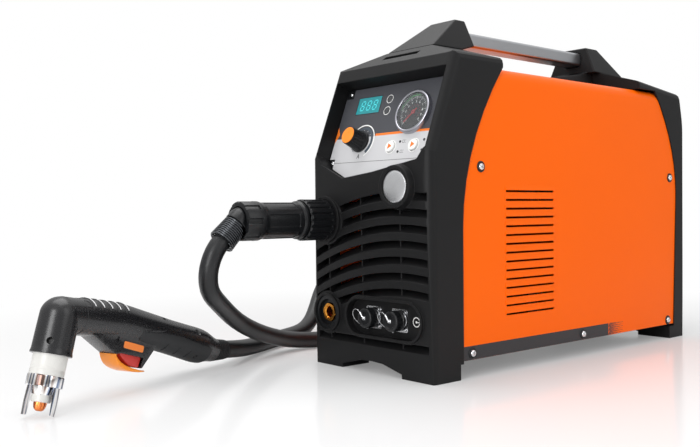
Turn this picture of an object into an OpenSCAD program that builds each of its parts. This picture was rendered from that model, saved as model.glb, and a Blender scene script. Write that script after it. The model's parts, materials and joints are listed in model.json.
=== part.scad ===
// Portable inverter plasma cutter: a sheet-steel case between two moulded end frames,
// with a carrying handle, a sloped control panel, and a hand torch on a 6 m lead.
// Frame: +Z up, +X to the right of a person who faces the control panel, front at -Y.
// The origin is the centre of the trolley bolt pattern on the underside of the base pan.

/* [Case] */
// Width over the moulded end frames
frame_w = 205; // [198:1:216]
// Length over the bulge of both end frames
body_len = 548; // [530:2:580]
// Height of the frame shoulder above the base pan
shoulder_z = 350; // [342:1:360]
// Height of the moulded feet below the base pan
foot_h = 20; // [16:1:26]
// Wall of the moulded frames
frame_wall = 3; // [2.5:0.5:3.5]
// Thickness of the case sheet
sheet_t = 1.2; // [1:0.1:1.5]
// Lip of a frame outside the case sheet, on each side
frame_lip = 1.5; // [1.2:0.1:2]
// How far the cover top lies below the frame shoulder
cover_drop = 13; // [11:1:16]
// Bend radius of the two upper edges of the cover
cover_bend_r = 15; // [10:1:18]
// Length of sheet that is tucked inside each frame
seam_overlap = 10; // [8:1:12]
// Thickness of the base pan
pan_t = 1.5; // [1.2:0.1:2]
// Radius of the upright corners of the frames
corner_r = 12; // [8:1:14]

/* [Trolley bolts] */
// Bolt spacing across the pan
bolt_dx = 130; // [110:5:150]
// Bolt spacing along the pan
bolt_dy = 340; // [300:10:360]
// Bolt hole
bolt_d = 6.6; // [5.5:0.1:8.5]

/* [Louvres] */
// Louvres on each side of the cover
louvre_n = 15; // [8:1:16]
// Length of a louvre
louvre_len = 95.5; // [60:0.5:110]
// Height of the lowest louvre
louvre_z = 47.5; // [40:0.5:55]
// Distance between louvres
louvre_pitch = 10.4; // [9:0.1:10.6]
// Height of a louvre slit
louvre_h = 3.6; // [2.5:0.1:4.5]
// Open gap below the hood of a louvre
louvre_gap = 1.9; // [0.8:0.1:2.2]

/* [Front grille] */
// Radius of the arched grille slots
grille_r = 340; // [300:5:400]
// Distance between slots
grille_pitch = 18.6; // [17:0.1:20]
// Height of a slot at the face
grille_open = 9.5; // [7:0.5:10]
// Arched slots
grille_n = 7; // [5:1:7]
// Slant of the blades, upwards to the inside
grille_slant = 35; // [25:1:38]
// Depth of the blades
grille_depth = 12; // [10:0.5:13]

/* [Control panel] */
// Slope of the control panel from upright
panel_tilt = 20.5; // [19:0.5:22]
// Width of the panel plate
panel_w = 187; // [180:1:189]
// Thickness of the panel plate
plate_t = 2; // [1.5:0.1:2.5]
// Air gauge: outer radius of its bezel
gauge_r = 26.5; // [24:0.5:27.5]
// Radius of the current knob at its skirt
knob_r = 13.5; // [11:0.5:15]
// Height of the current knob
knob_h = 23; // [18:1:26]
// Radius of a mode button
button_r = 6.8; // [5:0.1:7.5]
// Travel of a mode button
button_travel = 1; // [0.6:0.1:1.2]
// Radius of the badge disc
badge_r = 19.2; // [16:0.2:20]

/* [Front sockets] */
// Bore of the brass earth socket
earth_bore_d = 13; // [9:0.5:14]
// Outer radius of the torch coupling nut
nut_r = 25; // [23:0.5:26]
// Flange width of a control socket
control_flange = 26; // [22:1:28]

/* [Handle] */
// Width of the handle bar
bar_w = 28; // [24:1:32]
// Thickness of the handle bar
bar_h = 18; // [14:1:20]
// Height of the handle brackets above the frame shoulder
bracket_rise = 58; // [54:1:62]

/* [Fan and rear fittings] */
// Side of the square fan frame
fan_w = 120; // [100:1:122]
// Depth of the fan frame
fan_depth = 38; // [32:1:40]
// Fan blades
fan_blades = 7; // [5:1:9]
// Bore of the mains cable gland
gland_bore_d = 16; // [12:0.5:18]

/* [Torch lead] */
// Outer diameter of the torch lead
lead_d = 22; // [21:0.5:22.5]
// Radius of the coil at the middle of its turns
coil_r = 118; // [116:1:118]
// Space between neighbouring turns
coil_gap = 0.6; // [0.5:0.1:1]
// Turns of the strain relief spring
spring_turns = 10; // [8:1:10]
// Wire of the strain relief spring
spring_wire_d = 2; // [1.6:0.1:2]

/* [Torch] */
// Radius of the torch head
head_r = 20.5; // [19:0.5:21.5]
// Lean of the torch head from upright
head_tilt = 18; // [16:1:20]
// Radius of the grip at its rear end
grip_r = 20; // [19:0.5:21.5]
// Length of the grip behind its bend
grip_len = 170; // [166:1:174]
// Wall of the grip shells
shell_t = 2.5; // [2:0.25:3]

/* [Hidden] */
$fn = 64;
eps = 0.01;
half_w = frame_w / 2;
yf = -body_len / 2;
yr = body_len / 2;
floor_z = -foot_h;
cover_top = shoulder_z - cover_drop;
cover_w = frame_w - 2 * frame_lip;
flange_h = 2.5;        // thickness of the floor flange of a frame
fit = 0.1;             // clearance of a sheet or bar in its seat
run_gap = 0.35;        // clearance of a moving piece that touches nothing
pin_gap = 0.06;        // radial clearance of a pin in its bore

// Front frame outline, as distances behind the bulge (dy) and heights
belly_z = shoulder_z - 145;
lip_z = shoulder_z - 110;
brow_z = shoulder_z - 3;
roof_z = shoulder_z + 16.5;
crown_x = 39;
foot_lean = 6;
lip_dy = 1.5;
brow_dy = 42.5;
roof_dy = 72.5;
foot_len = 49;
foot_in = 51.5;
arch_z = -6;
lip_tilt = atan2(brow_dy - lip_dy, brow_z - lip_z);

// Seams between the frames and the cover: upright below, arching back above
seam_turn = shoulder_z - 200;
seam_dy = 54;
seam_bend = 0.00204;
rear_turn = shoulder_z - 160;
rear_dy = 27;
rear_bend = 0.0027;
rear_slant = 0.04;
function seam_y(z) = yf + seam_dy + seam_bend * pow(max(0, min(z, cover_top) - seam_turn), 2);
function rear_seam_y(z) = yr - rear_dy - rear_bend * pow(max(0, min(z, cover_top) - rear_turn), 2)
    - rear_slant * max(0, rear_turn - z);
seam_steps = 7;
function seam_z(i, turn) = turn + (cover_top - turn) * (1 - i / seam_steps);

// Control panel plane and its pieces, as [x, up the slope]
panel_y = yf + 23;
panel_z = shoulder_z - 116.5;
panel_top_s = 97;
ledge_t = 3;
recess_gap = 0.5;
gauge_at = [40, 54];
knob_at = [-41.5, 22];
button_at = [[14, 12.5], [52, 12.5]];
lamp_at = [[28, 18.4], [28, 5.8], [67, 18.4], [67, 5.8]];
ring_lamp_at = [[-10, 77], [-10, 61.5]];
display_at = [-46, 72];
display_size = [42, 22];
panel_screw_at = [[-86, 91], [86, 91], [-86, -4], [86, -4]];
board_h = -8;          // front of the control board behind the panel face

// Places on the front face
face_y = yf + 3;
badge_x = half_w - 48;
badge_z = shoulder_z - 152.5;
boss_h = 32;
boss_y = yf + 24;
boss_r = badge_r + 4.8;
boss_root_r = badge_r + 10.8;
torch_x = -(half_w - 26.5);
torch_z = 160;
torch_ring_r = nut_r + 4;
earth_x = torch_x;
earth_z = 45.5;
earth_ring_r = 24;
oblong_x = 23;
oblong = [124, 41.5];
oblong_floor_y = yf + 12;
control_dx = 43.5;
grille_top_z = belly_z - 11.5;
grille_rib_x = [-75, -14, 52];
low_slot_z = 20;
rim = 3;

earth_hole_r = earth_ring_r - rim;
roof_slope = atan2(roof_z - brow_z, roof_dy - brow_dy);
rear_edge_y = yr - 125;
rear_fall = 6;         // the roof of the rear frame falls to the rear
function rear_roof_z(y) = roof_z - (y - rear_edge_y) * tan(rear_fall);

// Rear recess that carries the fittings
rear_face_y = yr - 14;
rear_in_y = rear_face_y - frame_wall;
rear_recess = [172, 248];
rear_recess_z = 138;
fan_at = [22, 88];
switch_at = [-55, 215];
gland_at = [58, 215];
regulator_at = [0, 222];
inlet_at = [0, 182];

// Handle
bar_z = shoulder_z + 37.5;
bracket_z = shoulder_z + bracket_rise;
apex_w = 21;
front_apex = [yf + 133, yf + 151];
rear_apex = [yr - 137, yr - 109];

// Torch plug and its spring
nut_y = yf - 3.5;
nut_len = 36;
barrel_r = nut_r - 3.5;
spigot_r = barrel_r - 0.3;
spigot_len = 18;
torch_hole_r = spigot_r + 0.1;
barrel_end = nut_y - 100;
collar_end = nut_y - 124;
plug_bend = 44;        // how far the spring hangs below the plug's axis
ball_r = 14.4;
spring_start = 8;
spring_end = 38;
lead_r = lead_d / 2;
spring_r = (lead_r + 0.25 + spring_wire_d / 2) / cos(22.5);

// Torch on the floor: its tip, and the direction of its handle
torch_tip = [-50, yf - 370];
torch_az = 112.2;
guide_r = 13.5;
tip_lift = guide_r * sin(head_tilt);
head_low = 55.5;       // rim of the head above the tip
neck_up = 94;
neck_drop = 11.15;
neck_len = 84.9;
neck_r = 18.5;
neck_seam = 24;
grip_drop = 18.6;
boot_drop = 7;
boot_len = 25;
boot_r = 13.2;
neck_at = [neck_up * sin(head_tilt), neck_up * cos(head_tilt) + tip_lift];
bend_at = neck_at + neck_len * [cos(neck_drop), -sin(neck_drop)];
grip_at = bend_at + grip_len * [cos(grip_drop), -sin(grip_drop)];
boot_at = grip_at + boot_len * [cos(boot_drop), -sin(boot_drop)];
trigger_pin = [106.2, 48.5];
lever_pin = [99, 49.6];
pin_r = 1.5;
housing_w = 22;
trigger_w = 17;

// Lead routes, points chosen by hand
lead_gap = 0.3;        // between two lengths of the lead
coil_turns = 6.67;
lead_z = floor_z + lead_r + 0.3;
coil_at = [-263, 70];
coil_in_az = -25;
ball_at = [torch_x, collar_end + 3, torch_z + 2];
spring_dir = [0, -cos(plug_bend), -sin(plug_bend)];
loop_route = [
    [-76, -434.5, 124.5], [-77, -438, 115], [-79, -439.5, 105], [-82.5, -438, 95], [-88, -433.5, 85.5],
    [-95.5, -426, 77.5], [-105, -415, 70], [-117, -400.5, 61.5], [-129, -385.5, 52.5], [-141, -369, 42.5],
    [-152, -350, 32], [-161, -327, 21], [-171, -302, 11.5], [-182, -277, 4], [-191, -252, -2.5],
    [-194, -226, -7], [-190, -200, -8.7], [-180, -173, -8.7], [-171, -145, -8.7],
    [-166, -115, -8.7], [-164, -84, -8.7], [-162, -53, -8.7]];
tail_route = [
    [-336, -64, 53], [-320, -87, 40], [-302, -109, 22], [-283, -134, 3], [-266, -164, -7.5],
    [-252, -196, -8.7], [-238, -228, -8.7], [-222, -259, -8.7], [-206, -289, -8.5],
    [-190, -318, -7]];
valve_at = [torch_x, yf + 84];
valve_z = 130;
valve_h = 34;
hose_r = 4;
hose_gap = 0.3;
hose_from = [-29, rear_in_y - 19, 178];
hose_to = [valve_at[0], valve_at[1], valve_z + valve_h + 10];
hose_side = torch_x - 4;
hose_route = [hose_from - [hose_gap, 0, 0], hose_from - [8, 0, 0], hose_from - [18, 0, 0],
    hose_from - [29, 2, 0], [hose_side + 11, hose_from[1] - 8, 178], [hose_side + 3, hose_from[1] - 19, 179],
    [hose_side, hose_from[1] - 34, 180], [hose_side, hose_from[1] - 88, 184],
    [hose_side, (hose_from[1] + hose_to[1]) / 2, 193], [hose_side, hose_to[1] + 110, 200],
    [hose_side + 1, hose_to[1] + 50, 205], [hose_side + 2.5, hose_to[1] + 22, 205],
    [hose_side + 3.5, hose_to[1] + 8, 200], [hose_to[0], hose_to[1] + 1, 192],
    hose_to + [0, 0, 10], hose_to + [0, 0, 5], hose_to + [0, 0, hose_gap]];

// ---------- helpers ----------
module along_x(w) rotate([90, 0, 90]) linear_extrude(w, center = true) children();
module along_y(l) rotate([90, 0, 0]) linear_extrude(l, center = true) children();
// A cylinder from y0 towards -Y
module y_cyl(x, y0, z, l, r, r2 = -1)
    translate([x, y0, z]) rotate([90, 0, 0]) cylinder(h = l, r1 = r, r2 = r2 < 0 ? r : r2);
module round_rect(w, h, r) {
    square([w - 2 * r, h], center = true);
    square([w, h - 2 * r], center = true);
    for (x = [-1, 1], y = [-1, 1]) translate([x * (w / 2 - r), y * (h / 2 - r)]) circle(r);
}
module on_panel(at = [0, 0], h = 0)
    translate([0, panel_y, panel_z]) rotate([90 - panel_tilt, 0, 0])
        translate([at[0], at[1], h]) children();
module mirrored() {
    children();
    mirror([1, 0, 0]) children();
}
function flip(pts) = concat(pts, [for (i = [len(pts) - 1:-1:0])
    if (pts[i][0] != 0) [-pts[i][0], pts[i][1]]]);
module stadium(w, h) {
    square([w - h, h], center = true);
    for (x = [-1, 1]) translate([x * (w - h) / 2, 0]) circle(h / 2);
}

// ---------- swept tubes ----------
function unit(v) = v / norm(v);
function side_of(t) = unit(cross(t, abs(t[2]) > 0.9 ? [0, 1, 0] : [0, 0, 1]));
// Carries a side vector along the route without twist
function carried(t, i = 0, s = undef, out = []) = i == len(t) ? out :
    let (s0 = s == undef ? side_of(t[0]) : unit(s - (s * t[i]) * t[i]))
    carried(t, i + 1, s0, concat(out, [s0]));
function tangents(p) = [for (i = [0:len(p) - 1])
    i == 0 ? unit(p[1] - p[0]) : i == len(p) - 1 ? unit(p[i] - p[i - 1])
    : unit(unit(p[i + 1] - p[i]) + unit(p[i] - p[i - 1]))];
module tube(p, r, n) {
    t = tangents(p);
    s = carried(t);
    rings = len(p);
    pts = [for (i = [0:rings - 1], k = [0:n - 1]) let (a = 360 * k / n)
        p[i] + r * (cos(a) * s[i] + sin(a) * cross(t[i], s[i]))];
    body = [for (i = [0:rings - 2], k = [0:n - 1]) each let (a = i * n + k, b = i * n + (k + 1) % n)
        [[a, a + n, b + n], [a, b + n, b]]];
    caps = [for (k = [1:n - 2]) each [[0, k, k + 1],
        [(rings - 1) * n, (rings - 1) * n + k + 1, (rings - 1) * n + k]]];
    polyhedron(pts, concat(body, caps), convexity = 10);
}
// Points on a smooth curve along the hand-set route points
function near_point(p, i) = i < 0 ? 2 * p[0] - p[1] : i >= len(p) ? 2 * p[len(p) - 1] - p[len(p) - 2] : p[i];
function curve_at(a, b, c, d, u) = (pow(1 - u, 3) * a + (3 * u * u * u - 6 * u * u + 4) * b
    + (3 * u + 3 * u * u - 3 * u * u * u + 1) * c + u * u * u * d) / 6;
function smooth(p, k) = concat([for (i = [0:len(p) - 2], j = [0:k - 1])
    curve_at(near_point(p, i - 1), p[i], p[i + 1], near_point(p, i + 2), j / k)], [p[len(p) - 1]]);
function length_of(p) = len(p) < 2 ? 0 : [for (i = 1, s = norm(p[1] - p[0]); i < len(p);
    i = i + 1, s = s + (i < len(p) ? norm(p[i] - p[i - 1]) : 0)) s][len(p) - 2];

// ---------- lead geometry ----------
coil_layers = 4;
layer_turns = coil_turns / coil_layers;
coil_step = lead_d + coil_gap;
coil_out_r = coil_r + coil_step * layer_turns / 2;
rings_per_turn = 24;
function ease(u) = let (v = min(max(u, 0), 1)) v * v * (3 - 2 * v);
function coil_point(t) =
    let (a = t / layer_turns, tri = 1 - abs(1 - (a - 2 * floor(a / 2))),
        r = coil_out_r - coil_step * layer_turns * tri, az = coil_in_az + 360 * t,
        climb = ease((t - layer_turns) / 0.5 + 0.5) + ease((t - 2 * layer_turns) / 0.5 + 0.5)
            + ease((t - 3 * layer_turns) / 0.5 + 0.5))
    [coil_at[0] + r * cos(az), coil_at[1] + r * sin(az), lead_z + coil_step * climb];
function coil_heading(t) = let (az = coil_in_az + 360 * t) [-sin(az), cos(az), 0];
coil_rings = round(coil_turns * rings_per_turn);
coil_in = coil_point(0) - lead_d * coil_heading(0);
coil_out = coil_point(coil_turns) + lead_d * coil_heading(coil_turns);
coil_line = concat([coil_in], [for (i = [0:coil_rings]) coil_point(coil_turns * i / coil_rings)],
    [coil_out]);
function torch_point(s, z) = [torch_tip[0] + s * cos(torch_az), torch_tip[1] + s * sin(torch_az),
    floor_z + z];
boot_dir = [cos(torch_az) * cos(boot_drop), sin(torch_az) * cos(boot_drop), -sin(boot_drop)];
boot_end = torch_point(boot_at[0], boot_at[1]);
loop_line = smooth(concat([ball_at + spring_start * spring_dir,
    ball_at + (spring_start + 15) * spring_dir, ball_at + spring_end * spring_dir,
    ball_at + (spring_end + 4) * spring_dir],
    loop_route, [coil_in - lead_d * coil_heading(0), coil_in - lead_gap * coil_heading(0)]), 2);
tail_line = smooth(concat([coil_out + lead_gap * coil_heading(coil_turns),
    coil_out + lead_d * coil_heading(coil_turns)], tail_route,
    [boot_end + lead_d * boot_dir, boot_end + lead_gap * boot_dir]), 2);
spring_pitch = (spring_end - spring_start - 2 * spring_wire_d) / spring_turns;
function spring_point(t) = [spring_r * cos(360 * t), spring_r * sin(360 * t),
    spring_start + spring_wire_d + spring_pitch * t];
spring_line = concat([[spring_r, 0, spring_start + 0.3]],
    [for (i = [0:spring_turns * 8]) spring_point(i / 8)]);
// Least clear distance of a wound line to itself, between points half a turn or more apart
function self_gap(p, d, skip) = min([for (i = [0:2:len(p) - 1], j = [i + skip:1:len(p) - 1])
    norm(p[i] - p[j])]) - d;
echo(coil_self_gap = self_gap(coil_line, lead_d, rings_per_turn / 2));
echo(spring_self_gap = self_gap(spring_line, spring_wire_d, 5));
echo(lead_length = length_of(loop_line) + length_of(coil_line) + length_of(tail_line));

// ---------- moulded frames ----------
function front_outline() = concat(
    [[yf + foot_lean, floor_z], [yf + foot_lean / 2, belly_z / 2], [yf, belly_z],
        [yf + lip_dy - 0.5, lip_z], [yf + brow_dy - 0.5, brow_z], [yf + roof_dy, roof_z],
        [seam_y(cover_top), roof_z]],
    [for (i = [0:seam_steps]) [seam_y(seam_z(i, seam_turn)), seam_z(i, seam_turn)]],
    [[seam_y(0), -flange_h], [yf + foot_len, -flange_h], [yf + foot_len, floor_z]]);
function crown(d) = [[half_w - d, shoulder_z - 9 - d], [half_w - 1.2 - d, shoulder_z - 4.5 - d],
    [half_w - 4.5 - d, shoulder_z - 1.5 - d], [crown_x, roof_z - d]];
function base_outline() = flip([[0, arch_z], [20, arch_z - 1], [foot_in, floor_z + 5],
    [foot_in, floor_z], [half_w, floor_z], [half_w, 2 * shoulder_z]]);
function crown_outline(d) = flip(concat([[half_w - d, -2 * foot_h]], crown(d)));
module crown_bar(d) along_y(3 * body_len) polygon(crown_outline(d));

module front_block() intersection() {
    along_x(frame_w) polygon(front_outline());
    translate([0, yf + body_len / 2, 0]) linear_extrude(4 * shoulder_z, center = true)
        round_rect(frame_w, body_len, corner_r);
    translate([0, yf + lip_dy, lip_z]) rotate([-lip_tilt, 0, 0])
        linear_extrude(4 * shoulder_z, center = true)
            translate([0, body_len / 2]) round_rect(frame_w, body_len, corner_r);
    along_y(2 * body_len) polygon(base_outline());
    crown_bar(0);
}

function panel_line_y(z) = panel_y + (z - panel_z) * tan(panel_tilt);
ledge_dy = (plate_t + ledge_t) / cos(panel_tilt);
cavity_y = yf + foot_lean + grille_depth;
module front_cavity() intersection() {
    along_x(frame_w - 2 * frame_wall) polygon([[cavity_y, 0], [cavity_y, panel_z - 32],
        [panel_line_y(panel_z - 10) + ledge_dy, panel_z - 10],
        [panel_line_y(panel_z + 93) + ledge_dy, panel_z + 93],
        [panel_line_y(panel_z + 93) + ledge_dy, roof_z - 13],
        [yf + roof_dy + 2, roof_z - frame_wall], [seam_y(cover_top) - frame_wall, roof_z - frame_wall],
        [seam_y(cover_top) - frame_wall, 0]]);
    crown_bar(frame_wall);
}

// The space of the cover inside the frames, grown by a gap
module cover_block(gap) intersection() {
    along_x(cover_w + 2 * gap) polygon(concat(
        [for (i = [0:seam_steps]) [seam_y(seam_z(i, seam_turn)) - seam_overlap - gap,
            seam_z(i, seam_turn) + (i == 0 ? gap : 0)]],
        [[seam_y(0) - seam_overlap - gap, 0], [rear_seam_y(0) + seam_overlap + gap, 0]],
        [for (i = [seam_steps:-1:0]) [rear_seam_y(seam_z(i, rear_turn)) + seam_overlap + gap,
            seam_z(i, rear_turn) + (i == 0 ? gap : 0)]]));
    along_y(2 * body_len) translate([0, cover_top + gap - body_len / 2])
        round_rect(cover_w + 2 * gap, body_len, cover_bend_r + gap);
}

function panel_outline(g) = [[-panel_w / 2 - g, panel_top_s + g], [-panel_w / 2 - g, -g / 2],
    [-82 - g, -13 - g], [-43, -29.5 - g], [10, -24 - g], [82 + g, -13 - g],
    [panel_w / 2 + g, -g / 2], [panel_w / 2 + g, panel_top_s + g]];
module boss(extra, h) y_cyl(badge_x, boss_y, badge_z, h, boss_root_r + extra, boss_r + extra);

module slot_shape(open) intersection() {
    square([2 * half_w - 12, 4 * half_w], center = true);
    translate([badge_x, 0]) difference() {
        translate([0, -grille_r / cos(grille_slant)]) circle(grille_r / cos(grille_slant), $fn = 128);
        translate([0, -grille_r / cos(grille_slant) - open]) circle(grille_r / cos(grille_slant), $fn = 128);
    }
}
module slanted(z) translate([0, face_y, z]) rotate([90 + grille_slant, 0, 0])
    translate([0, 0, -(grille_depth + 12)]) linear_extrude(grille_depth + 48) children();
module grille_cut() difference() {
    union() {
        for (k = [0:grille_n - 1]) slanted(grille_top_z - k * grille_pitch)
            slot_shape(grille_open * cos(grille_slant));
        slanted(low_slot_z) translate([0, -grille_open * cos(grille_slant) / 2])
            square([2 * half_w - 14, grille_open * cos(grille_slant)], center = true);
    }
    for (x = grille_rib_x) translate([x - 0.8, cavity_y - grille_depth + 2.5, 0])
        rotate([1.5, 0, 0]) cube([1.6, 40, belly_z + 10]);
    y_cyl(torch_x, yf + 60, torch_z, 90, torch_ring_r + 2);
    y_cyl(earth_x, yf + 60, earth_z, 90, earth_ring_r + 2.5);
    y_cyl(badge_x, yf + 60, badge_z, 90, boss_r + 2);
    translate([oblong_x, yf, earth_z]) along_y(90) stadium(oblong[0] + 9, oblong[1] + 9);
}

module at_side_screws(r) for (at = screw_at, x = [-1, 1])
    translate([x * (cover_w / 2 - 4), at[0], at[1]]) rotate([0, 90, 0])
        cylinder(h = 12, r = r, center = true);
tab_x = cover_w / 2 - sheet_t - 0.2;
module tab(y0, y1, z) mirrored() translate([tab_x - 2.4, y0, z - 14]) cube([2.4, y1 - y0, 28]);

module front_frame() color("#2f3033") difference() {
    union() {
        difference() {
            front_block();
            front_cavity();
            cover_block(fit);
            on_panel(h = -plate_t) linear_extrude(80) polygon(panel_outline(recess_gap));
            on_panel([0, 45], -20) linear_extrude(40) square([164, 82], center = true);
            grille_cut();
            translate([oblong_x, oblong_floor_y - 20, earth_z]) along_y(40)
                stadium(oblong[0], oblong[1]);
            translate([0, yf + 59, brow_z + 10.5]) rotate([roof_slope, 0, 0])
                cube([60, 8, 9], center = true);
        }
        boss(0, boss_h);
        intersection() {
            union() {
                y_cyl(torch_x, yf + 15, torch_z, 18, torch_ring_r);
                y_cyl(earth_x, yf + 15, earth_z, 14.5, earth_ring_r);
            }
            translate([0, yf + 45, 100]) cube([frame_w - 0.4, 100, 300], center = true);
        }
        translate([oblong_x, yf + 8, earth_z]) along_y(13.5) difference() {
            stadium(oblong[0] + 2 * rim, oblong[1] + 2 * rim);
            stadium(oblong[0], oblong[1]);
        }
        tab(yf + 40, screw_at[0][0] + 9, screw_at[0][1]);
    }
    y_cyl(badge_x, boss_y - boss_h + 2, badge_z, 4, badge_r + 0.4);
    y_cyl(torch_x, yf + 40, torch_z, 80, torch_hole_r);
    y_cyl(earth_x, yf + 40, earth_z, 80, earth_hole_r);
    for (x = [-1, 1]) y_cyl(oblong_x + x * control_dx / 2, yf + 40, earth_z, 60, 9.3);
    for (at = panel_screw_at) on_panel(at, -20) cylinder(h = 20, r = 1.6);
    at_side_screws(2.1);
}

function rear_outline() = concat(
    [[yr - 9.4, floor_z], [yr - 3, 181], [yr, belly_z + 26], [yr - 2.4, shoulder_z - 86],
        [yr - 19, shoulder_z - 13.5], [yr - 63, shoulder_z + 14], [rear_edge_y, roof_z]],
    [[rear_edge_y, cover_top]],
    [for (i = [0:seam_steps]) [rear_seam_y(seam_z(i, rear_turn)), seam_z(i, rear_turn)]],
    [[rear_seam_y(0), -flange_h], [yr - 47, -flange_h], [yr - 47, floor_z]]);
module falling() translate([0, rear_edge_y, roof_z]) rotate([-rear_fall, 0, 0])
    translate([0, 0, -roof_z]) children();
module rear_block() intersection() {
    along_x(frame_w) polygon(rear_outline());
    linear_extrude(4 * shoulder_z, center = true) round_rect(frame_w, body_len, corner_r);
    along_y(2 * body_len) polygon(base_outline());
    falling() crown_bar(0);
}
module rear_cavity() intersection() {
    along_x(frame_w - 2 * frame_wall) polygon([[rear_in_y, 0], [rear_in_y, shoulder_z - 80],
        [yr - 24, shoulder_z - 18], [yr - 65, shoulder_z + 10], [yr - 122, roof_z - 3],
        [yr - 122, cover_top - 20], [yr - 122, 0]]);
    falling() crown_bar(frame_wall);
}
module fan_grille() difference() {
    y_cyl(fan_at[0], rear_face_y + 1, fan_at[1], frame_wall + 2, fan_w / 2 - 4);
    for (r = [12, 24, 36, 48]) difference() {
        y_cyl(fan_at[0], rear_face_y + 1, fan_at[1], frame_wall + 2, r);
        y_cyl(fan_at[0], rear_face_y + 2, fan_at[1], frame_wall + 4, r == 12 ? 0.5 : r - 2.5);
    }
    for (a = [0:60:120]) translate([fan_at[0], rear_face_y, fan_at[1]]) rotate([0, a + 30, 0])
        cube([4, 3 * frame_wall, fan_w], center = true);
}
module rear_frame() color("#2f3033") difference() {
    union() {
        difference() {
            rear_block();
            rear_cavity();
            cover_block(fit);
        }
        tab(screw_at[1][0] - 9, rear_in_y + 1, screw_at[1][1]);
    }
    at_side_screws(2.1);
    translate([0, rear_face_y + 25, rear_recess_z]) along_y(50)
        round_rect(rear_recess[0], rear_recess[1], 10);
    fan_grille();
    translate([switch_at[0], rear_face_y, switch_at[1]]) cube([26.4, 20, 38.4], center = true);
    y_cyl(gland_at[0], rear_face_y + 5, gland_at[1], 20, 14.3);
    y_cyl(regulator_at[0], rear_face_y + 5, regulator_at[1], 20, 11.3);
    y_cyl(inlet_at[0], rear_face_y + 5, inlet_at[1], 20, 8.3);
}

// ---------- case ----------
screw_at = [[-188, 220], [230, 214], [224, 7], [12, 8], [-204, 8]];
module base_pan() color("#3b3c3f") difference() {
    union() {
        translate([0, 0, pan_t / 2]) cube([cover_w - 2 * sheet_t - 1.2, 2 * (rear_in_y - 1.5), pan_t],
            center = true);
        mirrored() translate([tab_x - 1.5, -214, 0]) cube([1.5, 446, 14]);
    }
    for (x = [-1, 1], y = [-1, 1]) translate([x * bolt_dx / 2, y * bolt_dy / 2, -1])
        cylinder(h = pan_t + 2, d = bolt_d);
    at_side_screws(2.1);
}

louvre_y = -96.5;
module sheet_cover() color("#f26a1b") difference() {
    union() {
        intersection() {
            difference() {
                cover_block(0);
                along_y(2 * body_len) translate([0, cover_top - sheet_t - body_len / 2])
                    round_rect(cover_w - 2 * sheet_t, body_len, cover_bend_r - sheet_t);
            }
            translate([0, 0, shoulder_z / 2 + 0.5]) cube([frame_w, 2 * body_len, shoulder_z], center = true);
        }
        mirrored() for (k = [0:louvre_n - 1])
            translate([cover_w / 2 - eps, louvre_y, louvre_z + k * louvre_pitch])
                rotate([90, 0, 0]) linear_extrude(louvre_len, center = true)
                    polygon([[0, 0], [1.6, louvre_h * 0.2], [1.6, louvre_h * 0.2 + 0.8], [0, louvre_h + 3.6]]);
    }
    mirrored() for (k = [0:louvre_n - 1])
        translate([cover_w / 2 - sheet_t, louvre_y, louvre_z + k * louvre_pitch])
            rotate([90, 0, 0]) linear_extrude(louvre_len - 3, center = true)
                polygon([[-1, -louvre_gap], [1.8, -louvre_gap], [1.8, louvre_h * 0.4], [-1, louvre_h]]);
    for (at = screw_at) translate([0, at[0], at[1]]) rotate([0, 90, 0])
        cylinder(h = frame_w, d = 4.6, center = true);
}

module screw_set(at) translate([cover_w / 2, at[0], at[1]]) rotate([0, 90, 0]) {
    cylinder(h = 1.2, r1 = 6.6, r2 = 5.6);
    translate([0, 0, 1.1]) cylinder(h = 2.1, r1 = 4.2, r2 = 3.4);
    translate([0, 0, -8]) cylinder(h = 8.5, r = 2);
}
module case_screws() color("#c8cacc") {
    mirrored() for (at = screw_at) screw_set(at);
    for (at = panel_screw_at) on_panel(at) {
        cylinder(h = 1.8, r1 = 3.4, r2 = 2.6);
        translate([0, 0, -9]) cylinder(h = 9.5, r = 1.5);
    }
}

// ---------- handle ----------
module bracket(side_points, y_mid) intersection() {
    along_x(4 * crown_x) polygon(side_points);
    translate([0, y_mid, 0]) along_y(300) polygon([[-crown_x, roof_z - 40], [crown_x, roof_z - 40],
        [crown_x, roof_z], [apex_w, bracket_z], [-apex_w, bracket_z], [-crown_x, roof_z]]);
}
module bar_seat() translate([0, 0, bar_z]) along_y(front_to_rear)
    round_rect(bar_w + 2 * fit, bar_h + 2 * fit, 4);
front_to_rear = 2 * (-front_apex[0] + 16);
module handle_bracket_front() color("#37383b") difference() {
    bracket([[yf + roof_dy, roof_z], [front_apex[0], bracket_z], [front_apex[1], bracket_z],
        [front_apex[1] + 2, roof_z + 7.5], [seam_y(cover_top) + 1, roof_z]], yf + 110);
    bar_seat();
}
module handle_bracket_rear() color("#37383b") difference() {
    union() {
        bracket([[yr - 63, rear_roof_z(yr - 63)], [rear_apex[1], bracket_z - 4],
            [rear_apex[0], bracket_z - 4], [rear_apex[0] - 2, roof_z], [rear_edge_y, roof_z]], yr - 90);
        intersection() {
            along_x(60) polygon([[yr - 229, cover_top + 0.3], [yr - 229, cover_top + 15],
                [yr - 150, roof_z - 2.5], [yr - 126, roof_z + 6], [yr - 126, cover_top + 0.3]]);
            translate([0, yr - 180, 0]) along_y(200) polygon([[-30, cover_top], [30, cover_top],
                [24, roof_z + 6], [-24, roof_z + 6]]);
        }
    }
    bar_seat();
}
module handle_bar() color("#a9acb0") translate([0, 0, bar_z])
    along_y(front_to_rear - 2 * fit) round_rect(bar_w, bar_h, 4 - fit);

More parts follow.
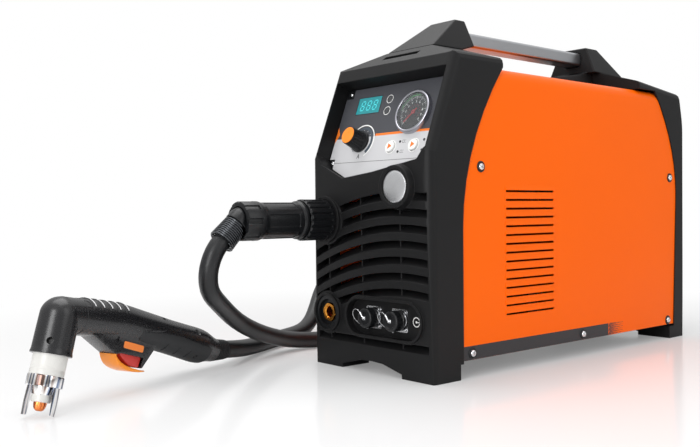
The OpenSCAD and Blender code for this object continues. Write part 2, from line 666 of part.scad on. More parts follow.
// ---------- control panel ----------
module control_panel() color("#565759") difference() {
    on_panel(h = -plate_t) linear_extrude(plate_t) difference() {
        polygon(panel_outline(0));
        translate(gauge_at) circle(gauge_r - 1.8);
        translate(knob_at) circle(4.5);
        for (at = button_at) translate(at) circle(button_r + 0.4);
        for (at = lamp_at) translate(at) circle(1.65);
        for (at = ring_lamp_at) translate(at) circle(4.75);
        translate(display_at) square(display_size + [0.3, 0.3], center = true);
        for (at = panel_screw_at) translate(at) circle(1.6);
    }
    boss(0.4, boss_h);
}
module display_window() color("#1f8a93") on_panel(display_at, board_h)
    linear_extrude(0.3 - board_h) square(display_size, center = true);
module indicator_lamps() color("#3c3d40") {
    for (at = lamp_at) on_panel(at, board_h) cylinder(h = 0.8 - board_h, r = 1.5);
    for (at = ring_lamp_at) on_panel(at, board_h) cylinder(h = 0.6 - board_h, r = 4.6);
}
module gauge_case() color("#1c1c1e") on_panel(gauge_at) difference() {
    union() {
        translate([0, 0, -28]) cylinder(h = 28.5, r = gauge_r - 2.2);
        cylinder(h = 4.5, r = gauge_r);
        translate([0, 0, 4.5 - eps]) cylinder(h = 1.8, r1 = gauge_r, r2 = gauge_r - 1.2);
    }
    difference() {
        translate([0, 0, 1]) cylinder(h = 8, r = gauge_r - 3.5);
        cylinder(h = 3.2, r = 0.8);
    }
}
module gauge_dial() color("#17181b") on_panel(gauge_at, 1) difference() {
    cylinder(h = 0.6, r = gauge_r - 3.7);
    translate([0, 0, -1]) cylinder(h = 3, r = 1.2);
}
module gauge_lens() color("#dfe6ea") on_panel(gauge_at, 4.2) cylinder(h = 1.4, r = gauge_r - 3.55);
needle_rest = 135;
module gauge_needle() color("#202020") on_panel(gauge_at, 1.9) rotate([0, 0, needle_rest])
    difference() {
        union() {
            cylinder(h = 1.4, r = 2.4);
            translate([-0.6, -6, 0.3]) cube([1.2, gauge_r - 3.5, 0.6]);
        }
        translate([0, 0, -1]) cylinder(h = 4, r = 0.8 + pin_gap);
    }
shaft_r = 3;
module current_knob() color("#1b1b1d") on_panel(knob_at) difference() {
    union() {
        translate([0, 0, 0.5]) cylinder(h = 3, r = knob_r);
        translate([0, 0, 3.4]) cylinder(h = knob_h - 3.4, r1 = knob_r - 1, r2 = knob_r - 2.5);
        translate([0, 0, -15]) cylinder(h = 20, r = shaft_r);
    }
    for (a = [0:20:340]) rotate([0, 0, a]) translate([knob_r - 1.2, 0, 6])
        rotate([0, -4, 0]) cylinder(h = knob_h, r = 0.9);
}
module knob_cap() color("#f26a1b") on_panel(knob_at, knob_h) {
    cylinder(h = 0.9, r = knob_r - 3.2);
    translate([-0.8, 2, 0.8]) cube([1.6, 7, 0.4]);
}
module potentiometer() color("#9a9c9e") on_panel(knob_at) difference() {
    union() {
        translate([0, 0, board_h - 1.6 - 11]) cylinder(h = 11, r = 8.5);
        translate([0, 0, board_h - 1.7]) cylinder(h = 7, r = 4.1);
    }
    translate([0, 0, -15.4]) cylinder(h = 20, r = shaft_r + pin_gap);
}
module mode_button(at) on_panel(at) {
    translate([0, 0, -2.1]) cylinder(h = 4.6, r = button_r);
    translate([0, 0, 2.5 - eps]) cylinder(h = 0.6, r1 = button_r, r2 = button_r - 0.6);
    translate([0, 0, -3.4]) cylinder(h = 1.35, r = button_r + 1.6);
    translate([0, 0, -6]) cylinder(h = 3, r = 2.5);
}
module mode_button_left() color("#2a2b2d") mode_button(button_at[0]);
module mode_button_right() color("#2a2b2d") mode_button(button_at[1]);
module control_board() color("#2c6b45") {
    on_panel([0, 0], board_h - 1.6) linear_extrude(1.6) difference() {
        translate([0, 45]) square([156, 78], center = true);
        translate(gauge_at) circle(gauge_r - 1);
        translate(knob_at) circle(4.3);
        for (x = [-82, 82]) translate([x, 0]) circle(26);
    }
    for (x = [-74, 74], s = [30, 80]) on_panel([x, s], board_h) cylinder(h = -plate_t - board_h, r = 3);
    for (at = button_at) on_panel(at, board_h) cylinder(h = 0.9, r = 3.2);
    for (x = [-60, -20], s = [50, 68]) on_panel([x, s], board_h - 4) linear_extrude(2.4)
        square([16, 10], center = true);
}
module badge_disc() color("#b9bbbd") {
    y_cyl(badge_x, boss_y - boss_h + 2, badge_z, 1.6, badge_r);
    y_cyl(badge_x, boss_y - boss_h + 0.5, badge_z, 0.9, badge_r - 1, badge_r - 1.8);
}

// ---------- front sockets ----------
// Flange behind the face, which stays clear of the side wall
function socket_flange(r) = min(r + 2, half_w + torch_x - frame_wall - 0.3);
module torch_socket() color("#8c8e90") difference() {
    union() {
        y_cyl(torch_x, yf + 38, torch_z, 38 + 3.5 + spigot_len, spigot_r);
        y_cyl(torch_x, yf + 38, torch_z, 12, socket_flange(spigot_r));
    }
    y_cyl(torch_x, nut_y, torch_z, 30, 15);
    y_cyl(torch_x, nut_y + 12, torch_z, 30, 5);
}
module earth_socket_body() color("#1b1b1d") difference() {
    union() {
        y_cyl(earth_x, yf + 36, earth_z, 33.5, earth_hole_r - 0.1);
        y_cyl(earth_x, yf + 36, earth_z, 16, socket_flange(earth_hole_r));
    }
    y_cyl(earth_x, yf + 40, earth_z, 50, 12);
    y_cyl(earth_x, yf + 7, earth_z, 50, 16, 17);
}
module earth_socket_insert() color("#c9a14a") difference() {
    y_cyl(earth_x, yf + 40, earth_z, 35, 11.95);
    y_cyl(earth_x, yf + 30, earth_z, 50, earth_bore_d / 2);
}
module at_controls() for (x = [-1, 1]) translate([oblong_x + x * control_dx / 2, oblong_floor_y, earth_z])
    rotate([90, 0, 0]) children();
control_r = 9;
module control_sockets() color("#c8cacc") at_controls() difference() {
    union() {
        translate([0, 0, 1]) cube([control_flange, control_flange, 2], center = true);
        cylinder(h = 9, r = control_r);
        translate([0, 0, -20]) cylinder(h = 21, r = control_r);
        for (x = [-1, 1], y = [-1, 1]) translate([x * 9.8, y * 9.8, 1.5]) cylinder(h = 1.6, r = 1.7);
    }
    translate([0, 0, 2]) cylinder(h = 10, r = 6.5);
}
cap_r = control_r + 2.8;
module dust_cap(side) translate([oblong_x + side * control_dx / 2, oblong_floor_y, earth_z])
    rotate([90, 0, 0]) difference() {
        union() {
            translate([0, 0, 3.4]) cylinder(h = 13, r = cap_r);
            translate([0, 0, 16.4 - eps]) cylinder(h = 2, r1 = cap_r, r2 = cap_r - 2);
        }
        translate([0, 0, 3]) cylinder(h = 6.4, r = control_r + pin_gap);
        for (a = [0:20:340]) rotate([0, 0, a]) translate([cap_r + 0.5, 0, 6]) cylinder(h = 20, r = 1);
    }
module dust_cap_left() color("#1b1b1d") dust_cap(-1);
module dust_cap_right() color("#1b1b1d") dust_cap(1);
module cap_lanyards() color("#2a2a2c") at_controls() {
    translate([0, 0, 2.1]) difference() {
        cylinder(h = 0.9, r = control_r + 2);
        translate([0, 0, -1]) cylinder(h = 3, r = control_r + 0.3);
    }
    translate([0, 5.6 - oblong[1] / 2, 2.1]) difference() {
        cylinder(h = 0.9, r = 5.2);
        translate([0, 0, -1]) cylinder(h = 3, r = 4.2);
    }
}

// ---------- fan and rear fittings ----------
fan_y = rear_in_y - fan_depth / 2;
module at_fan() translate([fan_at[0], fan_y, fan_at[1]]) rotate([90, 0, 0]) children();
module fan_frame() color("#232426") at_fan() difference() {
    union() {
        difference() {
            cube([fan_w, fan_w, fan_depth], center = true);
            cylinder(h = fan_depth + 2, r = fan_w / 2 - 2.5, center = true);
        }
        translate([0, 0, -fan_depth / 2]) cylinder(h = 3, r = 20);
        for (a = [45:90:315]) rotate([0, 0, a]) translate([0, -3, -fan_depth / 2]) cube([fan_w / 2 + 2, 6, 3]);
        translate([0, 0, -fan_depth / 2]) cylinder(h = 20, r = 3);
    }
    for (x = [-1, 1], y = [-1, 1]) translate([x, y, 0] * (fan_w / 2 - 7.5))
        cylinder(h = fan_depth + 2, r = 2.2, center = true);
}
module fan_rotor() color("#17181a") at_fan() difference() {
    union() {
        translate([0, 0, -fan_depth / 2 + 4]) cylinder(h = 26, r = 19);
        for (k = [0:fan_blades - 1]) rotate([0, 0, 360 * k / fan_blades]) translate([18, 0, -fan_depth / 2 + 17])
            rotate([38, 0, 0]) translate([0, -14, -1]) cube([fan_w / 2 - 2.5 - 1.5 - 19.5, 28, 2]);
    }
    translate([0, 0, -fan_depth / 2 + 3]) cylinder(h = 18.5, r = 3 + pin_gap);
}
rocker_y = rear_face_y - 1;
rocker_tilt = 9;
module at_switch() translate([switch_at[0], 0, switch_at[1]]) children();
module mains_switch() color("#161617") at_switch() difference() {
    union() {
        translate([-13, rear_face_y - 22, -19]) cube([26, 22.5, 38]);
        translate([-15, rear_face_y, -21]) cube([30, 2, 42]);
    }
    translate([-11.5, rocker_y - 8, -16.5]) cube([23, 20, 33]);
    translate([0, rocker_y, 0]) rotate([0, 90, 0]) cylinder(h = 25.6, r = pin_r + pin_gap, center = true);
}
module mains_switch_lever() color("#c8322b") at_switch() translate([0, rocker_y, 0]) rotate([-rocker_tilt, 0, 0]) {
    along_x(22.2) polygon([[-2.5, -7], [-2.5, 7], [1.5, 14.8], [5.5, 14.8], [3.6, 0], [5.5, -14.8], [1.5, -14.8]]);
    rotate([0, 90, 0]) cylinder(h = 25, r = pin_r, center = true);
}
module cable_gland() color("#1b1b1d") difference() {
    union() {
        y_cyl(gland_at[0], rear_face_y + 4, gland_at[1], 14, 14.2);
        y_cyl(gland_at[0], rear_in_y, gland_at[1], 5, 18);
        y_cyl(gland_at[0], rear_face_y + 6, gland_at[1], 6, 17);
        y_cyl(gland_at[0], rear_face_y + 22, gland_at[1], 16.5, 13, 15.5);
    }
    y_cyl(gland_at[0], rear_face_y + 30, gland_at[1], 60, gland_bore_d / 2);
}
reg_stub = 12;
module air_regulator() color("#b7b9bb") {
    translate([-17, rear_in_y - 34, 166]) cube([34, 34, 76]);
    y_cyl(regulator_at[0], rear_face_y + 4, regulator_at[1], 8, 11.2);
    y_cyl(regulator_at[0], rear_face_y + 4 + reg_stub, regulator_at[1], reg_stub + 1, 4);
    difference() {
        union() {
            y_cyl(inlet_at[0], rear_face_y + 6, inlet_at[1], 10, 8.2);
            y_cyl(inlet_at[0], rear_face_y + 24, inlet_at[1], 20, 6.5);
            y_cyl(inlet_at[0], rear_face_y + 7, inlet_at[1], 7, 10);
        }
        y_cyl(inlet_at[0], rear_face_y + 30, inlet_at[1], 34, 3.5);
    }
    translate([hose_from[0], hose_from[1], hose_from[2]]) rotate([0, 90, 0]) cylinder(h = 14, r = hose_r);
}
module regulator_knob() color("#1b1b1d") difference() {
    union() {
        y_cyl(regulator_at[0], rear_face_y + 22 + eps, regulator_at[1], 17.5 + eps, 15);
        y_cyl(regulator_at[0], rear_face_y + 24, regulator_at[1], 2, 13.5, 15);
    }
    y_cyl(regulator_at[0], rear_face_y + 4 + reg_stub + 0.5, regulator_at[1], 20, 4 + pin_gap);
    for (a = [0:30:330]) translate([regulator_at[0] + 15.6 * cos(a), 0, regulator_at[1] + 15.6 * sin(a)])
        y_cyl(0, rear_face_y + 30, 0, 30, 1.6);
}

// ---------- inside ----------
module solenoid_valve() color("#a7a9ab") {
    translate([valve_at[0] - 15, valve_at[1] - 15, valve_z]) cube([30, 30, valve_h]);
    translate([valve_at[0] - 15, valve_at[1] + 12, pan_t]) cube([30, 3, valve_z - pan_t]);
    translate([valve_at[0] - 15, valve_at[1] + 12, pan_t]) cube([30, 22, 3]);
    translate([valve_at[0] - 11, valve_at[1] + 15, valve_z + 6]) cube([22, 26, 22]);
    y_cyl(torch_x, valve_at[1] - 15, torch_z - 6, yf + 38 < valve_at[1] - 15 ? valve_at[1] - 15 - yf - 38 : 1, 5);
    translate([valve_at[0], valve_at[1], valve_z + valve_h - 1]) cylinder(h = 11, r = hose_r);
}
module air_hose() color("#2456a8") tube(smooth(hose_route, 3), hose_r, 10);
module heatsinks() color("#b4b7ba") for (y = [20, 112]) translate([0, y, 0]) {
    translate([-34, 0, pan_t]) cube([112, 84, 6]);
    translate([-34, 0, 146]) cube([112, 84, 6]);
    for (x = [-34, 75]) translate([x, 0, pan_t]) cube([3, 84, 146]);
    for (i = [0:14]) translate([-28 + i * 7, 0, pan_t + 5]) {
        cube([2, 84, 60]);
        translate([0, 0, 85]) cube([2, 84, 56]);
    }
}
module power_modules() color("#202226") for (y = [26, 118], x = [-26, 28])
    translate([x, y, 152]) difference() {
        cube([42, 60, 13]);
        for (k = [10, 32]) translate([k, 5, -1]) cylinder(h = 20, r = 2.5);
    }
module main_board() color("#2c6b45") difference() {
    translate([-60, -130, 165]) cube([142, 330, 1.6]);
    for (x = [-55, 77], y = [-124, 194]) translate([x, y, 160]) cylinder(h = 10, r = 2);
}
module capacitors() color("#24324f") for (x = [-36, 8, 52], y = [-90, -44, 2])
    translate([x, y, 166.6]) difference() {
        cylinder(h = 55, r = 17.5);
        translate([0, 0, 54]) cylinder(h = 2, r = 15);
    }
module transformer() color("#4c4a45") {
    translate([-5, -150, pan_t]) cube([86, 18, 84]);
    translate([-5, -76, pan_t]) cube([86, 18, 84]);
    translate([-5, -150, pan_t]) cube([86, 92, 16]);
    translate([-5, -150, pan_t + 68]) cube([86, 92, 16]);
    translate([38, -104, pan_t + 14]) cylinder(h = 56, r = 25);
}
module output_choke() color("#b5652c") {
    translate([-48, -98, pan_t + 17]) rotate_extrude() translate([26, 0]) circle(15);
    translate([-48, -98, pan_t]) cylinder(h = 3, r = 24);
    translate([-48, -98, pan_t]) cylinder(h = 36, r = 5);
}

// ---------- torch plug and lead ----------
module torch_coupling_nut() color("#1b1b1d") difference() {
    union() {
        y_cyl(torch_x, nut_y, torch_z, nut_len - 2, nut_r);
        y_cyl(torch_x, nut_y - nut_len + 2 + eps, torch_z, 2, nut_r, nut_r - 1.5);
    }
    y_cyl(torch_x, nut_y + 5, torch_z, nut_len + 20, barrel_r + pin_gap);
    for (a = [0:18:342]) translate([torch_x + (nut_r + 0.6) * cos(a), 0, torch_z + (nut_r + 0.6) * sin(a)])
        y_cyl(0, nut_y - 4, 0, 60, 1.7);
}
module torch_plug() color("#1e1e20") difference() {
    union() {
        y_cyl(torch_x, nut_y - spigot_len - 0.5, torch_z, 100 - spigot_len - 0.5, barrel_r);
        y_cyl(torch_x, nut_y - nut_len - 0.5, torch_z, 6, barrel_r + 1.5);
        y_cyl(torch_x, barrel_end + 0.5, torch_z, 24.5, 23);
        y_cyl(torch_x, barrel_end + 3, torch_z, 3, barrel_r, 23);
        translate(ball_at) sphere(ball_r + 0.3);
        translate(ball_at) rotate([90 + plug_bend, 0, 0]) cylinder(h = spring_start, r = ball_r);
    }
    for (a = [0:45:315]) translate([torch_x + 25 * cos(a), 0, torch_z + 25 * sin(a)])
        y_cyl(0, barrel_end - 2, 0, 40, 4);
    translate(ball_at) rotate([90 + plug_bend, 0, 0]) translate([0, 0, spring_start])
        cylinder(h = 40, r = ball_r + 1);
}
module plug_spring() color("#b9bbbd") translate(ball_at) rotate([90 + plug_bend, 0, 0])
    tube(concat(spring_line, [spring_line[len(spring_line) - 1] + [0, 0, spring_wire_d]]), spring_wire_d / 2, 6);
module lead_loop() color("#1a1a1c") tube(loop_line, lead_r, 12);
module lead_coil() color("#1a1a1c") tube(coil_line, lead_r, 6);
module lead_tail() color("#1a1a1c") tube(tail_line, lead_r, 12);

// ---------- torch ----------
module at_torch() translate([torch_tip[0], torch_tip[1], floor_z]) rotate([0, 0, torch_az]) children();
module on_head(z = 0) at_torch() translate([0, 0, tip_lift]) rotate([0, head_tilt, 0])
    translate([0, 0, z]) children();
module on_neck(l = 0) translate([neck_at[0], 0, neck_at[1]]) rotate([0, 90 + neck_drop, 0])
    translate([0, 0, l]) children();
module on_grip(l = 0) translate([bend_at[0], 0, bend_at[1]]) rotate([0, 90 + grip_drop, 0])
    translate([0, 0, l]) children();
module side_plate(w) rotate([90, 0, 0]) linear_extrude(w, center = true) children();

grip_form = [[0, neck_r - 0.5], [30, neck_r], [80, neck_r], [grip_len - 34, grip_r],
    [grip_len - 15, grip_r - 4], [grip_len - 4, grip_r - 6], [grip_len - 1, grip_r - 6.6]];
module grip_body(d) {
    on_neck(neck_seam) cylinder(h = neck_len - neck_seam, r = neck_r - d);
    translate([bend_at[0], 0, bend_at[1]]) sphere(neck_r + 0.5 - d);
    on_grip() rotate_extrude() polygon(concat([[0, 0]], [for (p = grip_form) [p[1] - d, p[0]]],
        [[0, grip_len - 1]]));
}
module housing_shape() polygon([[62, 69.5], [93.2, 47], [94.4, 46.2], [103, 45.8], [136.9, 35.2], [132.6, 26.6],
    [132.2, 24.9], [134.4, 25.1], [156.4, 43.1], [161, 55], [140, 66], [90, 80]]);
module trigger_room() polygon([[94.4, 10], [94.4, 52], [96, 53.6], [101.5, 53.6], [110, 52.2], [137.8, 43.2],
    [137.6, 37], [133.8, 27], [133.4, 10]]);
module torch_shell(side) at_torch() difference() {
    union() {
        grip_body(0);
        side_plate(housing_w) housing_shape();
        for (l = [34:12:82]) on_neck(l) intersection() {
            cylinder(h = 3, r = neck_r + 1);
            translate([-neck_r - 7, 0, 0]) cube([2 * neck_r, 80, 20], center = true);
        }
    }
    grip_body(shell_t);
    on_neck(-5) cylinder(h = neck_seam + 10, r = neck_r - shell_t);
    on_grip(grip_len - 30) cylinder(h = 50, r = boot_r + 0.1);
    translate([0, -side * 50, 60]) cube([800, 100, 400], center = true);
    side_plate(trigger_w + 0.8) trigger_room();
    translate([trigger_pin[0], 0, trigger_pin[1]]) rotate([90, 0, 0])
        cylinder(h = 20.4, r = pin_r + pin_gap, center = true);
    translate([lever_pin[0], 0, lever_pin[1]]) rotate([90, 0, 0])
        cylinder(h = 20.4, r = pin_r + pin_gap, center = true);
}
module torch_boot() color("#1b1b1d") at_torch() {
    on_grip(grip_len - 22) cylinder(h = 22, r = boot_r);
    translate([grip_at[0], 0, grip_at[1]]) sphere(boot_r + 0.3);
    translate([grip_at[0], 0, grip_at[1]]) rotate([0, 90 + boot_drop, 0]) {
        cylinder(h = boot_len, r1 = boot_r, r2 = lead_r + 0.6);
        for (k = [0:3]) translate([0, 0, 3 + k * 5.5]) cylinder(h = 2.6, r = boot_r + 0.4 - 0.35 * k);
    }
}
module torch_shell_left() color("#242527") torch_shell(1);
module torch_shell_right() color("#242527") torch_shell(-1);
module torch_trigger() color("#c8322b") at_torch() {
    side_plate(trigger_w) polygon([[103.2, 43.2], [103.2, 50], [104.8, 51.4], [108, 51.2], [135.9, 39.2],
        [135.4, 36], [130.6, 26], [114.5, 31.6], [107, 39]]);
    translate([trigger_pin[0], 0, trigger_pin[1]]) rotate([90, 0, 0])
        cylinder(h = 20, r = pin_r, center = true);
}
module safety_lever() color("#f5a02a") at_torch() {
    side_plate(housing_w) polygon([[94.6, 44.4], [96, 40.5], [99, 35.5], [103, 30.6], [110, 26.6], [120.5, 23],
        [137.5, 20.6], [137.6, 22.4], [129, 24.2], [121.5, 26], [111, 29.6], [105.4, 33.6], [101.4, 38.4],
        [99.4, 42.6], [98.8, 44.6]]);
    side_plate(trigger_w - 1) polygon([[96.2, 43], [95.9, lever_pin[1]], [102.1, lever_pin[1]], [99.3, 43]]);
    translate([lever_pin[0], 0, lever_pin[1]]) rotate([90, 0, 0]) {
        cylinder(h = trigger_w - 1, r = 3.1, center = true);
        cylinder(h = 20, r = pin_r, center = true);
    }
}
module torch_head() color("#202123") {
    difference() {
        union() {
            on_head(head_low) cylinder(h = 4, r1 = head_r + 1, r2 = head_r);
            on_head(head_low + 4 - eps) cylinder(h = neck_up - head_low - 5, r1 = head_r, r2 = head_r - 1);
            on_head(neck_up - 1) sphere(head_r - 0.7);
            at_torch() on_neck() cylinder(h = neck_seam - 0.2, r = neck_r - 0.5);
            at_torch() on_neck() cylinder(h = neck_seam + 4.5, r = neck_r - shell_t - 0.1);
        }
        on_head(head_low + 11.5) rotate([90, 0, -55]) translate([0, 0, head_r - 4]) cylinder(h = 10, r = 3.4);
        on_head(head_low - 1) cylinder(h = 64 - head_low, r = 5);
    }
}
cup_in = 7.3;
module shield_cup() color("#efece4") on_head() difference() {
    union() {
        translate([0, 0, 14]) cylinder(h = 12.5, r = 9.4);
        translate([0, 0, 26.4]) cylinder(h = 10.7, r = 12.8);
        translate([0, 0, 37]) cylinder(h = head_low - 37, r = 16.4);
    }
    cylinder(h = 70, r = cup_in);
}
module standoff_guide() color("#c8cacc") on_head() difference() {
    union() {
        translate([0, 0, 26.5]) cylinder(h = 10.5, r = 17.2);
        intersection() {
            cylinder(h = 28, r = guide_r);
            for (x = [-1, 1]) translate([x * 12, 0, 14]) cube([8, 11, 28], center = true);
        }
    }
    translate([0, 0, -1]) cylinder(h = 27.5, r = 11.3);
    cylinder(h = 60, r = 12.9);
}
module nozzle() color("#b87333") on_head() difference() {
    union() {
        translate([0, 0, 3]) cylinder(h = 9, r1 = 4, r2 = cup_in - 0.1);
        translate([0, 0, 12 - eps]) cylinder(h = 34, r = cup_in - 0.1);
    }
    translate([0, 0, 7]) cylinder(h = 60, r = 4.6);
    cylinder(h = 20, r = 0.7);
}
module electrode() color("#b06a3a") on_head() {
    translate([0, 0, 10]) cylinder(h = 34, r = 3.4);
    translate([0, 0, 43]) cylinder(h = 20, r = 4.5);
}

base_pan();
sheet_cover();
front_frame();
rear_frame();
handle_bracket_front();
handle_bracket_rear();
handle_bar();
control_panel();
display_window();
indicator_lamps();
gauge_case();
gauge_dial();
gauge_lens();
gauge_needle();
current_knob();
knob_cap();
potentiometer();
mode_button_left();
mode_button_right();
control_board();
badge_disc();
torch_socket();
earth_socket_body();
earth_socket_insert();
control_sockets();
dust_cap_left();
dust_cap_right();
cap_lanyards();
case_screws();
fan_frame();
fan_rotor();
mains_switch();
mains_switch_lever();
cable_gland();
air_regulator();
regulator_knob();
solenoid_valve();
air_hose();
main_board();
heatsinks();
power_modules();
transformer();
output_choke();
capacitors();
torch_coupling_nut();
torch_plug();
plug_spring();
lead_loop();
lead_coil();
lead_tail();
torch_boot();
torch_shell_left();
torch_shell_right();
torch_head();
torch_trigger();
safety_lever();
shield_cup();
standoff_guide();
nozzle();
electrode();
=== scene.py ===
"""Looks of the portable plasma cutter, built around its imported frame.

Lengths are written in millimetres and turned to metres by MM. Row frame: +Z up, front at -Y.
"""
import json
import math

import bmesh
import bpy
from mathutils import Matrix, Vector


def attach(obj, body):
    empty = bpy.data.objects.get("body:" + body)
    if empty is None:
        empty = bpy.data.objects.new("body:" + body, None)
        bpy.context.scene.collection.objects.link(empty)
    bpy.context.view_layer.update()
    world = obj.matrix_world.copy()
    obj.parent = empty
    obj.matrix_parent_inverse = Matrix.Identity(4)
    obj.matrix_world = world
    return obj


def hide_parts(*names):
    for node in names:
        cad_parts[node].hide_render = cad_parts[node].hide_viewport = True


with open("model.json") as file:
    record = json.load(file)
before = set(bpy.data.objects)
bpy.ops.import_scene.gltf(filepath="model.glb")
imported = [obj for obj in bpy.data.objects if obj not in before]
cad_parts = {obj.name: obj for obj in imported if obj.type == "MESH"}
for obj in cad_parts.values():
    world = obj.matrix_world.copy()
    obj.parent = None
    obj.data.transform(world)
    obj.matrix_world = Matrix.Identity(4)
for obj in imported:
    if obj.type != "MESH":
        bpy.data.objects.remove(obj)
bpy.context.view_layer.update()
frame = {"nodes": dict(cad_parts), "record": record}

MM = 0.001
FLOOR_Z = -20
UP = Vector((0, 0, 1))

# -------- places


def moved(x, y, z):
    return Matrix.Translation(Vector((x, y, z)) * MM)


def turned_by(degrees, axis):
    return Matrix.Rotation(math.radians(degrees), 4, axis)


def placed(name, data):
    """A new object in the scene that carries data."""
    thing = bpy.data.objects.new(name, data)
    bpy.context.scene.collection.objects.link(thing)
    return thing


ROW = Matrix.Identity(4)
FRONT = turned_by(90, "X")                       # x, height, and distance towards the front
PANEL = moved(0, -251, 233.5) @ turned_by(90 - 20.5, "X")         # across, up the face, and out of it
TORCH = moved(-50, -644, FLOOR_Z) @ turned_by(112.2, "Z")         # along, across and height
TORCH_SIDE = TORCH @ turned_by(90, "X")          # along, height, and distance towards the near side
HEAD = TORCH @ moved(0, 0, 4.17) @ turned_by(18, "Y")             # up the axis of nozzle and cup
# The torch's middle line drops from NECK_AT to BEND_AT and on to GRIP_AT, by these degrees. Its shells
# begin NECK_SEAM along the neck.
NECK_AT, BEND_AT, GRIP_AT = (29.05, 93.57), (112.345, 77.153), (273.466, 22.93)
NECK_DROP, GRIP_DROP = 11.15, 18.6
NECK_SEAM, NECK_LEN = 24, 84.9
BOOT = TORCH @ moved(GRIP_AT[0], 0, GRIP_AT[1]) @ turned_by(97, "Y")

# -------- camera

CAMERA_AT = (754.38, -950.77, 173.89)
CAMERA_AZIMUTH, CAMERA_DROP, CAMERA_ROLL = (math.radians(a) for a in (49.169, 1.013, -0.5125))
CAMERA_LENS, CAMERA_SENSOR = 44.63, 36


def make_camera():
    data = bpy.data.cameras.new("camera")
    data.lens, data.sensor_width = CAMERA_LENS, CAMERA_SENSOR
    data.clip_start, data.clip_end = 0.01, 50
    camera = placed("camera", data)
    a, e, r = CAMERA_AZIMUTH, CAMERA_DROP, CAMERA_ROLL
    ahead = Vector((-math.sin(a) * math.cos(e), math.cos(a) * math.cos(e), -math.sin(e)))
    right = Vector((math.cos(a), math.sin(a), 0))
    up = right.cross(ahead)
    side = right * math.cos(r) + up * math.sin(r)
    top = up * math.cos(r) - right * math.sin(r)
    camera.matrix_world = moved(*CAMERA_AT) @ Matrix((side, top, -ahead)).transposed().to_4x4()
    bpy.context.scene.camera = camera


make_camera()

# -------- materials


def lin(tone):
    """sRGB hex to a linear colour."""
    parts = [int(tone[i:i + 2], 16) / 255 for i in (1, 3, 5)]
    return tuple(c / 12.92 if c <= 0.04045 else ((c + 0.055) / 1.055) ** 2.4 for c in parts) + (1.0,)


def shade(tone, factor):
    return tuple(min(1, c * factor) for c in lin(tone)[:3]) + (1.0,)


def add(tree, kind, inputs=None, **settings):
    """Adds one node with its settings and links, and gives its outputs."""
    node = tree.nodes.new("ShaderNode" + kind)
    for name, value in settings.items():
        setattr(node, name, value)
    for name, value in (inputs or {}).items():
        if isinstance(value, bpy.types.NodeSocket):
            tree.links.new(value, node.inputs[name])
        else:
            node.inputs[name].default_value = value
    return node.outputs


def emptied(owner):
    """The node tree of a material or a world, without its first nodes."""
    owner.use_nodes = True
    owner.node_tree.nodes.clear()
    return owner.node_tree


ROUGH_SPAN = 0.08        # how far the fine relief moves the roughness, from its lows to its highs


def surface(name, tone, roughness, grain=0.6, lift=0.03, drift=0.08, patch=40, stretch=(1, 1, 1),
            edge=0.0, specular=0.5, metal=0.0, **sockets):
    """One finish. tone is the colour, grain the size in mm of the finest relief and lift its height in mm,
    patch the size in mm of the slow drift in colour and drift its strength. stretch draws the grain out.
    edge is the radius in mm that the light sees on moulded edges, and specular the strength of the sheen."""
    material = bpy.data.materials.new(name)
    tree = emptied(material)
    place = add(tree, "TexCoord")["Object"]
    cloud = add(tree, "TexNoise", {"Vector": place, "Scale": 1 / (patch * MM), "Detail": 3.0})["Fac"]
    colour = add(tree, "Mix", {"Factor": cloud, 6: shade(tone, 1 - drift), 7: shade(tone, 1 + drift)},
                 data_type="RGBA")[2]
    drawn = add(tree, "Mapping", {"Vector": place, "Scale": stretch})["Vector"]
    fine = add(tree, "TexNoise", {"Vector": drawn, "Scale": 1 / (grain * MM), "Detail": 2.0})["Fac"]
    rough = add(tree, "MapRange", {"Value": fine, "From Min": 0.3, "From Max": 0.7,
                                   "To Min": roughness - ROUGH_SPAN / 2,
                                   "To Max": roughness + ROUGH_SPAN / 2})["Result"]
    bump = {"Height": fine, "Strength": 1.0, "Distance": lift * MM}
    if edge:
        bump["Normal"] = add(tree, "Bevel", {"Radius": edge * MM}, samples=6)["Normal"]
    shader = add(tree, "BsdfPrincipled", {
        "Base Color": colour, "Roughness": rough, "Normal": add(tree, "Bump", bump)["Normal"],
        "Specular IOR Level": specular, "Metallic": metal, **sockets})["BSDF"]
    add(tree, "OutputMaterial", {"Surface": shader})
    return material


# Glass-filled ABS, spark-eroded mould: a fine even grain that breaks highlights into a soft sheen
MOULDED_ABS = surface("moulded_abs_charcoal", "#131314", 0.5, grain=0.9, lift=0.035, drift=0.06, edge=1.6,
                      specular=0.22)
# Smoother ABS of knobs, plug and nut: tighter highlights
GLOSSY_ABS = surface("moulded_abs_black", "#131416", 0.3, grain=0.8, lift=0.012, drift=0.06, specular=0.32)
# Epoxy powder coat on steel: clean colour with a faint orange-peel swell, drawn 2 mm wide so that it shows
POWDER_ORANGE = surface("powder_coat_orange", "#FA6600", 0.36, grain=2.2, lift=0.012, drift=0.02, patch=120,
                        specular=0.12)
# The same coat in charcoal, on the base pan
POWDER_CHARCOAL = surface("powder_coat_charcoal", "#2A2B2D", 0.45, grain=1.6, lift=0.02, drift=0.05)
# Printed polycarbonate film of the control panel: matt, velvet grain
FILM_DARK = surface("printed_film_dark", "#47484D", 0.48, grain=0.5, lift=0.008, drift=0.03, specular=0.3)
FILM_LIGHT = surface("printed_film_silver", "#C9C9CB", 0.42, grain=0.5, lift=0.008, drift=0.03)
# Thin label stock on the torch: paler than the coat, satin
LABEL_ORANGE = surface("label_orange", "#F98B3D", 0.4, grain=0.5, lift=0.006, drift=0.03)
